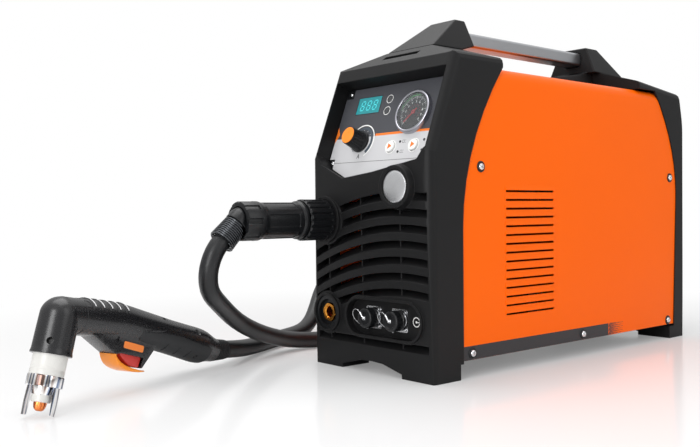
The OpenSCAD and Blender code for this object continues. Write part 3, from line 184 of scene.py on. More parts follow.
# Screen inks: thin, satin and even, with hardly a grain
INK_SLATE, INK_ORANGE, INK_BLACK, INK_WHITE, INK_RED, INK_GREEN = (
    surface("screen_ink_" + name, tone, 0.45, grain=0.5, lift=0.006, drift=drift) for name, tone, drift in (
        ("slate", "#46505A", 0.03), ("orange", "#F27A1E", 0.03), ("black", "#232427", 0.04),
        ("white", "#F2F2F0", 0.03), ("red", "#C5303A", 0.04), ("green", "#4E9A5C", 0.04)))
# Brushed and anodised aluminium tube: fine lines along the bar
ANODISED = surface("anodised_aluminium", "#B4B6B9", 0.34, grain=0.5, lift=0.012, drift=0.04,
                   stretch=(1, 0.02, 1), metal=1.0)
# Bright nickel plate
NICKEL = surface("nickel_plate", "#D3D4D6", 0.2, grain=0.7, lift=0.006, drift=0.05, metal=1.0)
# Turned brass: warm, a little dulled by handling
BRASS = surface("turned_brass", "#E59A3E", 0.24, grain=0.5, lift=0.012, drift=0.16, patch=5, metal=1.0)
# Drawn copper: rosy, with small patches of deeper tone
COPPER = surface("drawn_copper", "#EE8C50", 0.26, grain=0.5, lift=0.012, drift=0.12, patch=6, metal=1.0)
# Cast zinc: grey, with the soft orange peel of a casting
ZINC = surface("cast_zinc", "#A9ABAD", 0.42, grain=0.6, lift=0.02, drift=0.06, metal=1.0)
# Blackened spring wire: dark, with sharp small highlights on each turn
SPRING_STEEL = surface("black_spring_steel", "#4A4C4F", 0.16, grain=0.5, lift=0.006, drift=0.1, patch=8,
                       metal=1.0)
# Chloroprene sheath: satin black rubber, slightly dusty, with slow swells along it
SHEATH = surface("rubber_sheath", "#18191B", 0.38, grain=1.2, lift=0.03, drift=0.16, patch=25, specular=0.4)
# Soft grip rubber: matt, it swallows the highlights that the nylon round it gives
GRIP_RUBBER = surface("grip_rubber", "#1B1C1E", 0.55, grain=0.9, lift=0.03, drift=0.08, specular=0.4)
# Glass-filled nylon of the torch: near black, with broad clear highlights
TORCH_PA = surface("glass_filled_nylon", "#19191B", 0.27, grain=1.4, lift=0.002, drift=0.06)
# Light strips painted along the rear edges of the ribs as their highlights
RIB_HIGHLIGHT_PAINT = surface("painted_rib_highlight", "#D9D9DA", 0.3, grain=0.8, lift=0.004, drift=0.05)
# Dyed glossy mouldings of switch, trigger, lever and knob: the colour is in the plastic, so it is deep and even
SIGNAL_RED = surface("moulded_red", "#C8322B", 0.32, grain=0.8, lift=0.01, drift=0.06)
SIGNAL_ORANGE = surface("moulded_orange", "#FB9320", 0.34, grain=0.8, lift=0.01, drift=0.06)
KNOB_ORANGE = surface("moulded_orange_cap", "#FB8A1A", 0.34, grain=0.8, lift=0.01, drift=0.06)
# Glazed ceramic: warm grey, faintly clouded under a smooth glaze
CERAMIC = surface("glazed_ceramic", "#D2D1CD", 0.3, grain=1.0, lift=0.01, drift=0.06, patch=8)

# Colours of the streaks by their place in the noise: the brown and blue are heat tint, the white and dark bands are
# painted reflections
HEAT_TINT_AND_PAINTED_REFLECTIONS = ((0.3, "#3E3638"), (0.4, "#8F7468"), (0.46, "#F4F2F0"), (0.54, "#FFFFFF"), (0.6, "#7E8CA6"),
          (0.66, "#4A4648"), (0.74, "#EDEBEA"))


def streaked_chrome():
    """Thin chrome on a turned part: streaks run round it, brown and blue of heat tint, white and dark as painted
    reflections.
    """
    material = surface("chrome_heat_tint_and_painted_reflections", "#D8D8DA", 0.14, grain=2.0, lift=0.004, metal=1.0)
    tree = material.node_tree
    shader = next(n for n in tree.nodes if n.type == "BSDF_PRINCIPLED")
    turn = HEAD.to_3x3().inverted().to_euler()
    place = add(tree, "Mapping", {"Vector": add(tree, "TexCoord")["Object"], "Rotation": turn})["Vector"]
    drawn = add(tree, "Mapping", {"Vector": place, "Scale": (1, 1, 0.03)})["Vector"]
    streak = add(tree, "TexNoise", {"Vector": drawn, "Scale": 1 / (7 * MM), "Detail": 1.0})["Fac"]
    ramp = tree.nodes.new("ShaderNodeValToRGB")
    tree.links.new(streak, ramp.inputs["Fac"])
    for k, (at, tone) in enumerate(HEAT_TINT_AND_PAINTED_REFLECTIONS):
        stop = ramp.color_ramp.elements[k] if k < 2 else ramp.color_ramp.elements.new(at)
        stop.position, stop.color = at, lin(tone)
    # The streaks tint the metal's base colour: their white and dark bands are painted reflections, the brown and
    # blue heat tint
    tree.links.new(ramp.outputs["Color"], shader.inputs["Base Color"])
    return material


CHROMED_GUIDE = streaked_chrome()
# Dull chromed steel of the gauge's bezel: cloudy, so that its edge catches the light softly
BEZEL = surface("dull_chromed_bezel", "#B4B4BC", 0.3, grain=0.7, lift=0.006, drift=0.08, patch=8, metal=1.0)
# Tinted window and its segments: both glow a little, as a display that is switched on
WINDOW = surface("display_window", "#15858C", 0.2, grain=1.0, lift=0.003, drift=0.04,
                 **{"Emission Color": lin("#1CA0A8"), "Emission Strength": 0.15})
SEGMENT = surface("lit_segment", "#3FC2C9", 0.3, grain=1.0, lift=0.003, drift=0.04,
                  **{"Emission Color": lin("#40CFD6"), "Emission Strength": 0.4})
# Smoked lens of an unlit lamp: dark and glossy
LAMP = surface("smoked_lamp_lens", "#3C3D40", 0.2, grain=1.0, lift=0.004, drift=0.04)
# Clear glass over the gauge: only its reflections show
LENS = surface("gauge_glass", "#F4F8FA", 0.04, grain=3.0, lift=0.001, drift=0.01,
               **{"Transmission Weight": 1.0, "IOR": 1.45})
# Printed black card: dead matt under the glass
DIAL_CARD = surface("dial_card", "#17181B", 0.5, grain=0.5, lift=0.006, drift=0.04)
# The badge: a polished rim round a brushed face that shades from light to dark across it
BADGE_RIM = surface("polished_rim", "#C9CBCD", 0.16, grain=0.8, lift=0.006, drift=0.05, metal=1.0)
BADGE_FACE = surface("brushed_badge", "#E6E7E9", 0.3, grain=0.5, lift=0.01, drift=0.1, patch=14, metal=1.0)
# Solder mask over the copper of a circuit board: green, glossy, slightly uneven
BOARD = surface("solder_mask_green", "#2C6B45", 0.4, grain=0.8, lift=0.02, drift=0.1)
# Extruded aluminium: die lines along the fins
FINS = surface("extruded_aluminium", "#B4B7BA", 0.4, grain=0.5, lift=0.02, drift=0.05, stretch=(1, .05, 1),
               metal=1.0)
# Moulding epoxy: dull black of power modules
EPOXY = surface("moulded_epoxy", "#202226", 0.5, grain=0.8, lift=0.02, drift=0.06)
# Stacked sheets of a core: dark steel with lines across the stack
CORE_STEEL = surface("laminated_core", "#4C4A45", 0.5, grain=0.5, lift=0.05, drift=0.1,
                     stretch=(0.05, 1, 0.05), metal=0.6)
# Enamelled wire: coarse ridges of the turns in a varnished copper brown
WINDING = surface("enamelled_winding", "#B5652C", 0.35, grain=1.4, lift=0.15, drift=0.1,
                  stretch=(1, 1, 0.3))
# Shrink sleeve of a capacitor: dark blue, smooth film
CAN_SLEEVE = surface("shrink_sleeve_blue", "#24324F", 0.35, grain=1.0, lift=0.01, drift=0.05)
# Polyurethane hose: clear blue, smooth
AIR_HOSE = surface("polyurethane_hose", "#2456A8", 0.3, grain=1.0, lift=0.006, drift=0.05)

FINISH = {node: finish for finish, nodes in (
    (POWDER_CHARCOAL, "base_pan"), (POWDER_ORANGE, "sheet_cover"), (ANODISED, "handle_bar"),
    (MOULDED_ABS, "front_frame rear_frame handle_bracket_front handle_bracket_rear"),
    (GLOSSY_ABS, "control_panel gauge_case current_knob earth_socket_body dust_cap_left dust_cap_right"
                 " fan_frame fan_rotor mains_switch cable_gland regulator_knob torch_coupling_nut torch_plug"),
    (WINDOW, "display_window"), (LAMP, "indicator_lamps"), (DIAL_CARD, "gauge_dial"), (LENS, "gauge_lens"),
    (INK_RED, "gauge_needle"), (INK_WHITE, "mode_button_left mode_button_right"), (KNOB_ORANGE, "knob_cap"),
    (BADGE_RIM, "badge_disc"), (BRASS, "torch_socket earth_socket_insert"),
    (NICKEL, "control_sockets cap_lanyards case_screws"), (ZINC, "potentiometer air_regulator solenoid_valve"),
    (BOARD, "control_board main_board"), (FINS, "heatsinks"), (EPOXY, "power_modules"),
    (CORE_STEEL, "transformer"), (WINDING, "output_choke"), (CAN_SLEEVE, "capacitors"), (AIR_HOSE, "air_hose"),
    (SPRING_STEEL, "plug_spring"), (SHEATH, "lead_loop lead_coil lead_tail"), (GRIP_RUBBER, "torch_boot"),
    (TORCH_PA, "torch_shell_left torch_shell_right torch_head"), (SIGNAL_ORANGE, "safety_lever"),
    (SIGNAL_RED, "mains_switch_lever torch_trigger"), (CERAMIC, "shield_cup"),
    (CHROMED_GUIDE, "standoff_guide"), (COPPER, "nozzle electrode")) for node in nodes.split()}
BODY = {node: body for body, nodes in frame["record"]["behaviour"]["bodies"].items() for node in nodes}

for node, thing in frame["nodes"].items():
    thing.data.materials.clear()
    thing.data.materials.append(FINISH[node])

# -------- mesh helpers


def piece(name, mesh, material, node=None, body="case", smooth=35):
    """A finished object. node is the CAD node that it stands for."""
    mesh.name = name
    thing = placed(name, mesh)
    mesh.materials.append(material)
    if smooth:
        mesh.shade_smooth()
        mesh.set_sharp_from_angle(angle=math.radians(smooth))
    if node:
        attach(thing, BODY[node])
        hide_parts(node)
    else:
        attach(thing, body)
    return thing


def fine(node, mesh, smooth):
    """The finished shape of one CAD node, in that node's own finish."""
    return piece(node + "_fine", mesh, FINISH[node], node=node, smooth=smooth)


def mesh_of(points, faces, matrix=ROW):
    """A mesh from points in mm in the frame that matrix gives."""
    mesh = bpy.data.meshes.new("shape")
    mesh.from_pydata([matrix @ (Vector(p) * MM) for p in points], [], faces)
    mesh.update()
    return mesh


def lathe(profile, steps=64, radius_at=None):
    """Points and faces of a profile of (radius, height) turned about Z. radius_at(r, h, angle) shapes it."""
    points, faces = [], []
    for r, h in profile:
        for k in range(steps):
            a = 2 * math.pi * k / steps
            rr = radius_at(r, h, a) if radius_at else r
            points.append((rr * math.cos(a), rr * math.sin(a), h))
    for i in range(len(profile) - 1):
        for k in range(steps):
            n = (k + 1) % steps
            faces.append((i * steps + k, i * steps + n, (i + 1) * steps + n, (i + 1) * steps + k))
    if profile[0][0] > 0 and profile[0] != profile[-1]:
        faces.append(tuple(reversed(range(steps))))
        last = (len(profile) - 1) * steps
        faces.append(tuple(range(last, last + steps)))
    return points, faces


def lathed(profile, place, steps=64, radius_at=None):
    return mesh_of(*lathe(profile, steps, radius_at), place)


def tube(line, radius, sides, matrix=ROW):
    """A round tube along a line, carried along without twist. radius may be a function of the share of the
    way and the angle."""
    line = [Vector(p) for p in line]
    last = len(line) - 1
    ahead = [(line[min(i + 1, last)] - line[max(i - 1, 0)]).normalized() for i in range(last + 1)]
    helper = Vector((0, 1, 0)) if abs(ahead[0].z) > 0.9 else UP
    side = ahead[0].cross(helper).normalized()
    points, faces = [], []
    for i, t in enumerate(ahead):
        side = (side - t * side.dot(t)).normalized()
        over = t.cross(side)
        for k in range(sides):
            a = 2 * math.pi * k / sides
            r = radius(i / last, a) if callable(radius) else radius
            points.append(line[i] + r * (math.cos(a) * side + math.sin(a) * over))
    for i in range(last):
        for k in range(sides):
            n = (k + 1) % sides
            faces.append((i * sides + k, (i + 1) * sides + k, (i + 1) * sides + n, i * sides + n))
    faces.append(tuple(range(sides)))
    faces.append(tuple(reversed(range(last * sides, (last + 1) * sides))))
    return mesh_of(points, faces, matrix)


def baked(things):
    """The first thing's mesh with its modifiers done. All of them then leave the scene."""
    bpy.context.view_layer.update()
    mesh = bpy.data.meshes.new_from_object(
        things[0].evaluated_get(bpy.context.evaluated_depsgraph_get()))
    for thing in things:
        bpy.data.objects.remove(thing)
    return mesh


def flat_mesh(loops, low, high, matrix=PANEL):
    """A flat sheet between two heights in mm, from closed loops of (x, y) in mm. A loop inside another
    one is a hole."""
    curve = bpy.data.curves.new("sheet", "CURVE")
    curve.dimensions, curve.fill_mode, curve.extrude = "2D", "BOTH", (high - low) / 2 * MM
    for loop in loops:
        spline = curve.splines.new("POLY")
        spline.points.add(len(loop) - 1)
        for point, (x, y) in zip(spline.points, loop):
            point.co = (x * MM, y * MM, 0, 1)
        spline.use_cyclic_u = True
    mesh = baked([placed("sheet", curve)])
    mesh.materials.clear()
    mesh.transform(matrix @ moved(0, 0, (low + high) / 2))
    if matrix.determinant() < 0:
        mesh.flip_normals()
    return mesh


def polar(centre, r, degrees):
    a = math.radians(degrees)
    return centre[0] + r * math.cos(a), centre[1] + r * math.sin(a)


def ring(x, y, r, steps=48, start=0.0, turn=360.0, inner=None):
    """A circle, or a band between inner and r from angle start through turn degrees."""
    arc = [start + turn * k / steps for k in range(steps + (inner is not None))]
    loop = [polar((x, y), r, a) for a in arc]
    if inner is not None:
        loop += [polar((x, y), inner, a) for a in reversed(arc)]
    return loop


def box_loop(x, y, w, h):
    return [(x - w / 2, y - h / 2), (x + w / 2, y - h / 2), (x + w / 2, y + h / 2), (x - w / 2, y + h / 2)]


def rounded_loop(w, h, r, steps=6):
    """A rectangle with round corners, about its middle."""
    return [polar((cx * (w / 2 - r), cy * (h / 2 - r)), r, start + 90 * k / steps)
            for cx, cy, start in ((1, 1, 0), (-1, 1, 90), (-1, -1, 180), (1, -1, 270))
            for k in range(steps + 1)]


def opened(*meshes):
    """The meshes' shapes, ready to be changed together."""
    bm = bmesh.new()
    for mesh in meshes:
        bm.from_mesh(mesh)
    return bm


def closed(bm, mesh):
    """Gives the changed shape to mesh."""
    bm.to_mesh(mesh)
    bm.free()
    return mesh


def joined(meshes):
    """Several meshes of one finish as one."""
    return closed(opened(*meshes), bpy.data.meshes.new("joined"))


SOFT_STEPS = (1.0, 0.6, 0.3)        # shares of the full rounding that an edge can get
SOFT_ROOM = 0.42                    # the share of a neighbouring edge that a rounding may take
SOFT_ANGLE = 28                     # degrees from which an edge counts as sharp


def softened(node, width):
    """The CAD node with its edges rounded as a mould or a press rounds them: width in mm where there is
    room for it, and less on small details."""
    mesh = frame["nodes"][node].data.copy()
    bm = opened(mesh)
    bmesh.ops.remove_doubles(bm, verts=bm.verts, dist=0.004 * MM)
    bmesh.ops.dissolve_limit(bm, angle_limit=math.radians(1.0), verts=bm.verts, edges=bm.edges)
    bmesh.ops.recalc_face_normals(bm, faces=bm.faces)
    weight = bm.edges.layers.float.new("bevel_weight_edge")
    for edge in bm.edges:
        if len(edge.link_faces) != 2 or edge.calc_face_angle(0) < math.radians(SOFT_ANGLE):
            continue
        along = (edge.verts[1].co - edge.verts[0].co).normalized()
        room = 1.0
        for vert in edge.verts:
            for other in vert.link_edges:
                if other is edge:
                    continue
                way = (other.other_vert(vert).co - vert.co).normalized()
                if abs(way.dot(along)) < 0.8:
                    room = min(room, other.calc_length() * SOFT_ROOM / (width * MM))
        edge[weight] = next((s for s in SOFT_STEPS if room >= s), 0.0)
    closed(bm, mesh).materials.clear()
    thing = piece(node + "_soft", mesh, FINISH[node], node=node, smooth=60)
    bevel = thing.modifiers.new("rounded", "BEVEL")
    bevel.limit_method, bevel.offset_type = "WEIGHT", "OFFSET"
    bevel.width, bevel.segments, bevel.use_clamp_overlap = width * MM, 2, False
    bevel.miter_outer = "MITER_ARC"
    flatten = thing.modifiers.new("flat_faces", "WEIGHTED_NORMAL")
    flatten.keep_sharp, flatten.weight = False, 80


def cut(mesh, cutters):
    """A mesh with the cutters' space taken out of it."""
    things = [placed("blank", data) for data in [mesh] + cutters]
    for tool in things[1:]:
        step = things[0].modifiers.new("cut", "BOOLEAN")
        step.operation, step.solver, step.object = "DIFFERENCE", "EXACT", tool
    return baked(things)


def eased(mesh, width, sharp=30):
    """A mesh with its sharp edges rounded to width in mm."""
    bm = opened(mesh)
    bmesh.ops.remove_doubles(bm, verts=bm.verts, dist=0.002 * MM)
    bmesh.ops.dissolve_limit(bm, angle_limit=math.radians(0.5), verts=bm.verts, edges=bm.edges)
    edges = [e for e in bm.edges if len(e.link_faces) == 2 and e.calc_face_angle(0) > math.radians(sharp)]
    bmesh.ops.bevel(bm, geom=edges, offset=width * MM, segments=3, profile=0.5, affect="EDGES",
                    clamp_overlap=True)
    return closed(bm, mesh)


def sliced(bm, axis, places):
    """Adds cuts across a shape, at places in mm along an axis, so that it can be bent."""
    for at in places:
        bmesh.ops.bisect_plane(bm, geom=bm.verts[:] + bm.edges[:] + bm.faces[:],
                               plane_co=Vector(axis) * at * MM, plane_no=axis)

# -------- torch lead

LEAD_D, LEAD_UNEVEN = 22, 0.012
LEAD_Z = FLOOR_Z + LEAD_D / 2 + 0.3
BALL_AT = Vector((-76, -398.5, 162))
PLUG_BEND = math.radians(44)
SPRING_WAY = Vector((0, -math.cos(PLUG_BEND), -math.sin(PLUG_BEND)))
SPRING_TURN = UP.rotation_difference(SPRING_WAY).to_matrix().to_4x4()
SPRING_START, SPRING_END, SPRING_TURNS, SPRING_WIRE = 8, 38, 10, 2
SPRING_R, SPRING_FLARE = 13.2, 1.5
COIL_AT, COIL_R, COIL_START = (-263, 70), 118, -25
COIL_TURNS, COIL_LAYERS, COIL_STEP = 6.67, 4, LEAD_D + 0.6
LAYER_TURNS = COIL_TURNS / COIL_LAYERS
COIL_OUT_R = COIL_R + COIL_STEP * LAYER_TURNS / 2
LOOP_ROUTE = [
    (-76, -434.5, 124.5), (-77, -438, 115), (-79, -439.5, 105), (-82.5, -438, 95), (-88, -433.5, 85.5),
    (-95.5, -426, 77.5), (-105, -415, 70), (-117, -400.5, 61.5), (-129, -385.5, 52.5), (-141, -369, 42.5),
    (-152, -350, 32), (-161, -327, 21), (-171, -302, 11.5), (-182, -277, 4), (-191, -252, -2.5),
    (-194, -226, -7), (-190, -200, -8.7), (-180, -173, -8.7), (-171, -145, -8.7),
    (-166, -115, -8.7), (-164, -84, -8.7), (-162, -53, -8.7)]
TAIL_ROUTE = [
    (-336, -64, 53), (-320, -87, 40), (-302, -109, 22), (-283, -134, 3), (-266, -164, -7.5),
    (-252, -196, -8.7), (-238, -228, -8.7), (-222, -259, -8.7), (-206, -289, -8.5), (-190, -318, -7)]


def smooth_line(route, parts):
    """Points on a uniform cubic B-spline along given points, as the CAD lead follows it."""
    route = [Vector(p) for p in route]
    ends = [2 * route[0] - route[1]] + route + [2 * route[-1] - route[-2]]
    line = []
    for i in range(len(route) - 1):
        a, b, c, d = ends[i:i + 4]
        for j in range(parts):
            u = j / parts
            line.append(((1 - u) ** 3 * a + (3 * u ** 3 - 6 * u * u + 4) * b
                         + (3 * u + 3 * u * u - 3 * u ** 3 + 1) * c + u ** 3 * d) / 6)
    return line + [route[-1]]


def ease(u):
    v = min(max(u, 0), 1)
    return v * v * (3 - 2 * v)


def coil_point(turn):
    a = turn / LAYER_TURNS
    swing = 1 - abs(1 - (a - 2 * math.floor(a / 2)))
    r = COIL_OUT_R - COIL_STEP * LAYER_TURNS * swing
    az = math.radians(COIL_START + 360 * turn)
    climb = sum(ease((turn - k * LAYER_TURNS) / 0.5 + 0.5) for k in (1, 2, 3))
    return Vector((COIL_AT[0] + r * math.cos(az), COIL_AT[1] + r * math.sin(az), LEAD_Z + COIL_STEP * climb))


def coil_heading(turn):
    az = math.radians(COIL_START + 360 * turn)
    return Vector((-math.sin(az), math.cos(az), 0))


def lead_line():
    coil_in = coil_point(0) - LEAD_D * coil_heading(0)
    coil_out = coil_point(COIL_TURNS) + LEAD_D * coil_heading(COIL_TURNS)
    loop = smooth_line(
        [BALL_AT + d * SPRING_WAY for d in (SPRING_START, SPRING_START + 15, SPRING_END, SPRING_END + 4)]
        + LOOP_ROUTE + [coil_in - LEAD_D * coil_heading(0), coil_in], 4)
    steps = 36 * 7
    coil = [coil_point(COIL_TURNS * i / steps) for i in range(steps + 1)]
    boot_way = (BOOT.to_3x3() @ UP).normalized()
    boot_end = BOOT @ (Vector((0, 0, 25)) * MM) / MM
    tail = smooth_line([coil_out, coil_out + LEAD_D * coil_heading(COIL_TURNS)] + TAIL_ROUTE
                       + [boot_end + LEAD_D * boot_way, boot_end], 4)
    return loop + coil + tail


LEAD_LINE = lead_line()


def make_lead():
    """The lead's sheath, slightly uneven as a hand-laid lead is."""
    def girth(share, angle):
        swell = math.sin(share * 900) * math.sin(3 * angle + share * 200)
        return LEAD_D / 2 * (1 - LEAD_UNEVEN * (0.5 + 0.5 * swell))
    lead = piece("torch_lead", tube(LEAD_LINE, girth, 28), SHEATH, smooth=60)
    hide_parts("lead_loop", "lead_coil", "lead_tail")
    return lead


def make_plug_spring():
    """The bend guard: a close spring that opens a little to its free end."""
    place = Matrix.Translation(BALL_AT) @ SPRING_TURN
    steps = SPRING_TURNS * 28
    rise = SPRING_END - SPRING_START - 2 * SPRING_WIRE
    line = []
    for i in range(steps + 1):
        t = i / steps
        a = 2 * math.pi * SPRING_TURNS * t
        r = SPRING_R + SPRING_FLARE * t
        line.append(place @ Vector((r * math.cos(a), r * math.sin(a), SPRING_START + SPRING_WIRE + rise * t)))
    return piece("plug_bend_spring", tube(line, SPRING_WIRE / 2 + 0.1, 10), SPRING_STEEL, node="plug_spring",
                 smooth=60)


HOSE_D = 7.9
HOSE_ROUTE = [
    (-29.3, 238, 178), (-37, 238, 178), (-47, 238, 178), (-58, 236, 178), (-69, 230, 178), (-77, 219, 179),
    (-80, 204, 180), (-80, 150, 184), (-80, 24, 193), (-80, -80, 200), (-79, -140, 205), (-77.5, -168, 205),
    (-76.5, -182, 200), (-76, -189, 192), (-76, -190, 184), (-76, -190, 179), (-76, -190, 174.3)]


def make_air_hose():
    """The soft hose from the regulator to the valve, inside the case."""
    fine("air_hose", tube(smooth_line(HOSE_ROUTE, 10), HOSE_D / 2, 24), 60)


LEAD = make_lead()
PLUG_SPRING = make_plug_spring()
make_air_hose()

# -------- case and handle

for node, width in (("handle_bracket_front", 2.0), ("handle_bracket_rear", 2.0), ("handle_bar", 1.5),
                    ("sheet_cover", 0.4), ("torch_coupling_nut", 0.6), ("current_knob", 0.5),
                    ("knob_cap", 0.4), ("regulator_knob", 0.5), ("mains_switch", 0.6),
                    ("mains_switch_lever", 0.6), ("cable_gland", 0.5)):
    softened(node, width)

# -------- control panel

# The cover's two sides: along the case, to the rear on the right and to the front on the left; height; outwards
SIDE_X = 101
SIDE_RIGHT = Matrix(((0, 0, 1, SIDE_X * MM), (1, 0, 0, 0), (0, 1, 0, 0), (0, 0, 0, 1)))
SIDE_LEFT = Matrix(((0, 0, -1, -SIDE_X * MM), (-1, 0, 0, 0), (0, 1, 0, 0), (0, 0, 0, 1)))
FILM, PRINT = 0.25, 0.06                         # thickness of the panel's film, and of a layer of ink
KNOB_AT, GAUGE_AT, DISPLAY_AT = (-41.5, 22), (40, 54), (-46, 72)
BUTTON_AT = {"mode_button_left": (14, 12.5), "mode_button_right": (52, 12.5)}
LED_AT = ((28, 18.4), (28, 5.8), (67, 18.4), (67, 5.8))
RING_LAMP_AT = ((-10, 77), (-10, 61.5))
FILM_X, LIGHT_TOP = 93.0, 29                     # half the film's width, and where its silver part ends
SCALE_AT, SCALE_START, SCALE_SWEEP = (-41.5, 23), 232, 284
DIAL_START, DIAL_SWEEP, DIAL_FACE = 225, 270, 1.6


def printed(name, loops, material, low=0.0, high=PRINT, matrix=PANEL, body="case"):
    piece(name, flat_mesh(loops, low, high, matrix), material, body=body, smooth=0)


def inked(name, loops, material, layer=0):
    """Ink on the film, on top of the layers below it."""
    printed(name, loops, material, FILM + layer * PRINT, FILM + (layer + 1) * PRINT)


def tick(centre, degrees, start, end, half):
    """A short bar that points away from the centre of a scale, from radius start to end."""
    a = math.radians(degrees)
    c, k = math.cos(a), math.sin(a)
    return [(centre[0] + c * r - k * w, centre[1] + k * r + c * w)
            for r, w in ((start, -half), (end, -half), (end, half), (start, half))]


def make_panel_print():
    """The printed film: charcoal above, silver below, with an orange stripe between them."""
    holes = [ring(*at, 7.3) for at in BUTTON_AT.values()] + [ring(*at, 1.7) for at in LED_AT]
    silver = [(-FILM_X, 24), (-90.3, LIGHT_TOP), (FILM_X, LIGHT_TOP), (FILM_X, -0.3), (82, -12.3),
              (10, -23.2), (-43, -28.6), (-83, -11.5), (-83, 1.5), (-FILM_X, 1.5)]
    printed("film_silver", [silver, ring(*KNOB_AT, 4.6), ring(86, -4, 3.6, 24)] + holes, FILM_LIGHT, 0, FILM)
    charcoal = [(-FILM_X, 24), (-FILM_X, 84.5), (-80, 84.5), (-80, 96.5), (80, 96.5), (80, 84.5),
                (FILM_X, 84.5), (FILM_X, LIGHT_TOP), (-90.3, LIGHT_TOP)]
    printed("film_charcoal", [charcoal, ring(*GAUGE_AT, 25), box_loop(*DISPLAY_AT, 42.4, 22.4)]
            + [ring(*at, 4.8) for at in RING_LAMP_AT], FILM_DARK, 0, FILM)
    inked("stripe_orange", [[(-19, LIGHT_TOP), (FILM_X, LIGHT_TOP), (FILM_X, 32), (-19, 32)],
                            [(-FILM_X, 24), (-87, 35), (-FILM_X, 46)]], INK_ORANGE)
    inked("line_charcoal", [box_loop(0, -4, 166, 0.5)], INK_BLACK)
    # The scale round the knob grows from low to high current
    way = [SCALE_START - SCALE_SWEEP * k / 60 for k in range(61)]
    swell = [polar(SCALE_AT, 16.9 + 3.7 * k / 60, a) for k, a in enumerate(way)]
    inked("scale_swell", [swell + [polar(SCALE_AT, 16.2, a) for a in reversed(way)]], INK_SLATE, 1)
    inked("scale_ring", [ring(*SCALE_AT, 22.3, 60, -62, 230, inner=20.8)], INK_WHITE, 1)
    inked("scale_ticks", [tick(SCALE_AT, SCALE_START - SCALE_SWEEP * k / 10, 14.2, 15.6, 0.25)
                          for k in range(11)], INK_WHITE, 1)
    letter = [[(-43.0, 0.6), (-42.2, 0.6), (-41.6, 2.3), (-39.4, 2.3), (-38.8, 0.6), (-38.0, 0.6),
               (-40.0, 6.2), (-41.0, 6.2)], [(-41.35, 3.0), (-40.5, 5.3), (-39.65, 3.0)]]
    inked("scale_unit", letter, INK_BLACK)
    inked("lamp_rings", [ring(*at, r) for r in (5.6, 4.85) for at in RING_LAMP_AT], INK_WHITE)
    marks = []
    for x, s in LED_AT:
        marks += [box_loop(x + 5.6, s, 3.6, 3.6), box_loop(x + 5.6, s, 2.8, 2.8)]
        marks += [box_loop(x + 8.9, s - 1.5, 1.0, 0.6), box_loop(x + 8.9, s + 1.5, 1.0, 0.6)]
    inked("lamp_marks", marks, INK_BLACK)
    inked("button_rings", [ring(*at, r) for at in BUTTON_AT.values() for r in (8.6, 7.4)], INK_WHITE)


BUTTON_TOP = 3.1


def make_button_marks():
    """An orange triangle on each button."""
    for node, (x, s) in BUTTON_AT.items():
        loop = [(x - 2.3, s - 3.7), (x + 4.1, s), (x - 2.3, s + 3.7)]
        printed(node + "_mark", [loop], INK_ORANGE, BUTTON_TOP, BUTTON_TOP + PRINT, body=BODY[node])


# Segments of a digit, as centre x, centre y, width and height in a cell of 7 by 12
SEGMENTS = {"a": (0, 6, 5, 1.3), "b": (3, 3, 1.3, 4.6), "c": (3, -3, 1.3, 4.6), "d": (0, -6, 5, 1.3),
            "e": (-3, -3, 1.3, 4.6), "f": (-3, 3, 1.3, 4.6), "g": (0, 0, 5, 1.3)}
DIGIT_STROKES = {
    "0": "abcdef", "1": "bc", "2": "abged", "3": "abgcd", "4": "fgbc", "5": "afgcd", "6": "afgedc",
    "7": "abc", "8": "abcdefg", "9": "abcdfg"}
DIGIT_LEAN, DIGIT_STEP = 0.14, 11.2


def make_display():
    """Three leaning digits with all segments lit, behind the window, and the window's dark edge."""
    x0, s0 = DISPLAY_AT
    loops = []
    for k in range(3):
        for x, y, w, h in SEGMENTS.values():
            cx, cy, b = x0 + (k - 1) * DIGIT_STEP + x + DIGIT_LEAN * y, s0 + y, 0.5
            corners = ((-w / 2 + b, -h / 2), (w / 2 - b, -h / 2), (w / 2, -h / 2 + b), (w / 2, h / 2 - b),
                       (w / 2 - b, h / 2), (-w / 2 + b, h / 2), (-w / 2, h / 2 - b), (-w / 2, -h / 2 + b))
            loops.append([(cx + px + DIGIT_LEAN * py, cy + py) for px, py in corners])
    printed("display_digits", loops, SEGMENT, 0.3, 0.3 + PRINT)
    printed("display_edge", [box_loop(x0, s0, 43.4, 23.4), box_loop(x0, s0, 42.0, 22.0)], INK_BLACK, FILM, 0.55)


def number(text, x, y, size):
    """Loops of a plain number, size mm high, about its middle."""
    k, step = size / 13.3, size * 0.66
    return [box_loop(x + SEGMENTS[c][0] * k + step * (i - (len(text) - 1) / 2), y + SEGMENTS[c][1] * k,
                     max(SEGMENTS[c][2] * k, 0.32), max(SEGMENTS[c][3] * k, 0.32))
            for i, char in enumerate(text) for c in DIGIT_STROKES[char]]


def make_gauge():
    """Air gauge: a bright bezel, a black card with two scales and a red needle."""
    bezel = [(22.9, 1.2), (23.0, 5.2), (23.6, 6.3), (25.0, 6.7), (26.3, 6.2), (26.85, 5.0), (26.85, 0.3),
             (26.2, 0.26), (22.9, 1.2)]
    piece("gauge_bezel", lathed(bezel, PANEL @ moved(*GAUGE_AT, 0), 96), BEZEL, smooth=50)
    outer, inner = [], []
    for k in range(51):
        a = DIAL_START - DIAL_SWEEP * k / 50
        outer.append(tick(GAUGE_AT, a, *((18.2, 20.6, 0.14) if k % 5 else (16.6, 20.6, 0.32))))
        if k % 5 == 0:
            outer += number(str(k // 5), *polar(GAUGE_AT, 13.6, a), 3.0)
        if k % 4 == 0:
            inner.append(tick(GAUGE_AT, a, 8.6, 10.4, 0.16))
    green, red = (ring(*GAUGE_AT, 22.2, 30, start, turn, inner=21.2) for start, turn in ((75, 95), (-45, 60)))
    for name, loops, ink in (("scale", outer, INK_WHITE), ("scale_inner", inner, INK_RED),
                             ("band_green", [green], INK_GREEN), ("band_red", [red], INK_RED)):
        printed("gauge_" + name, loops, ink, DIAL_FACE, DIAL_FACE + 0.08)


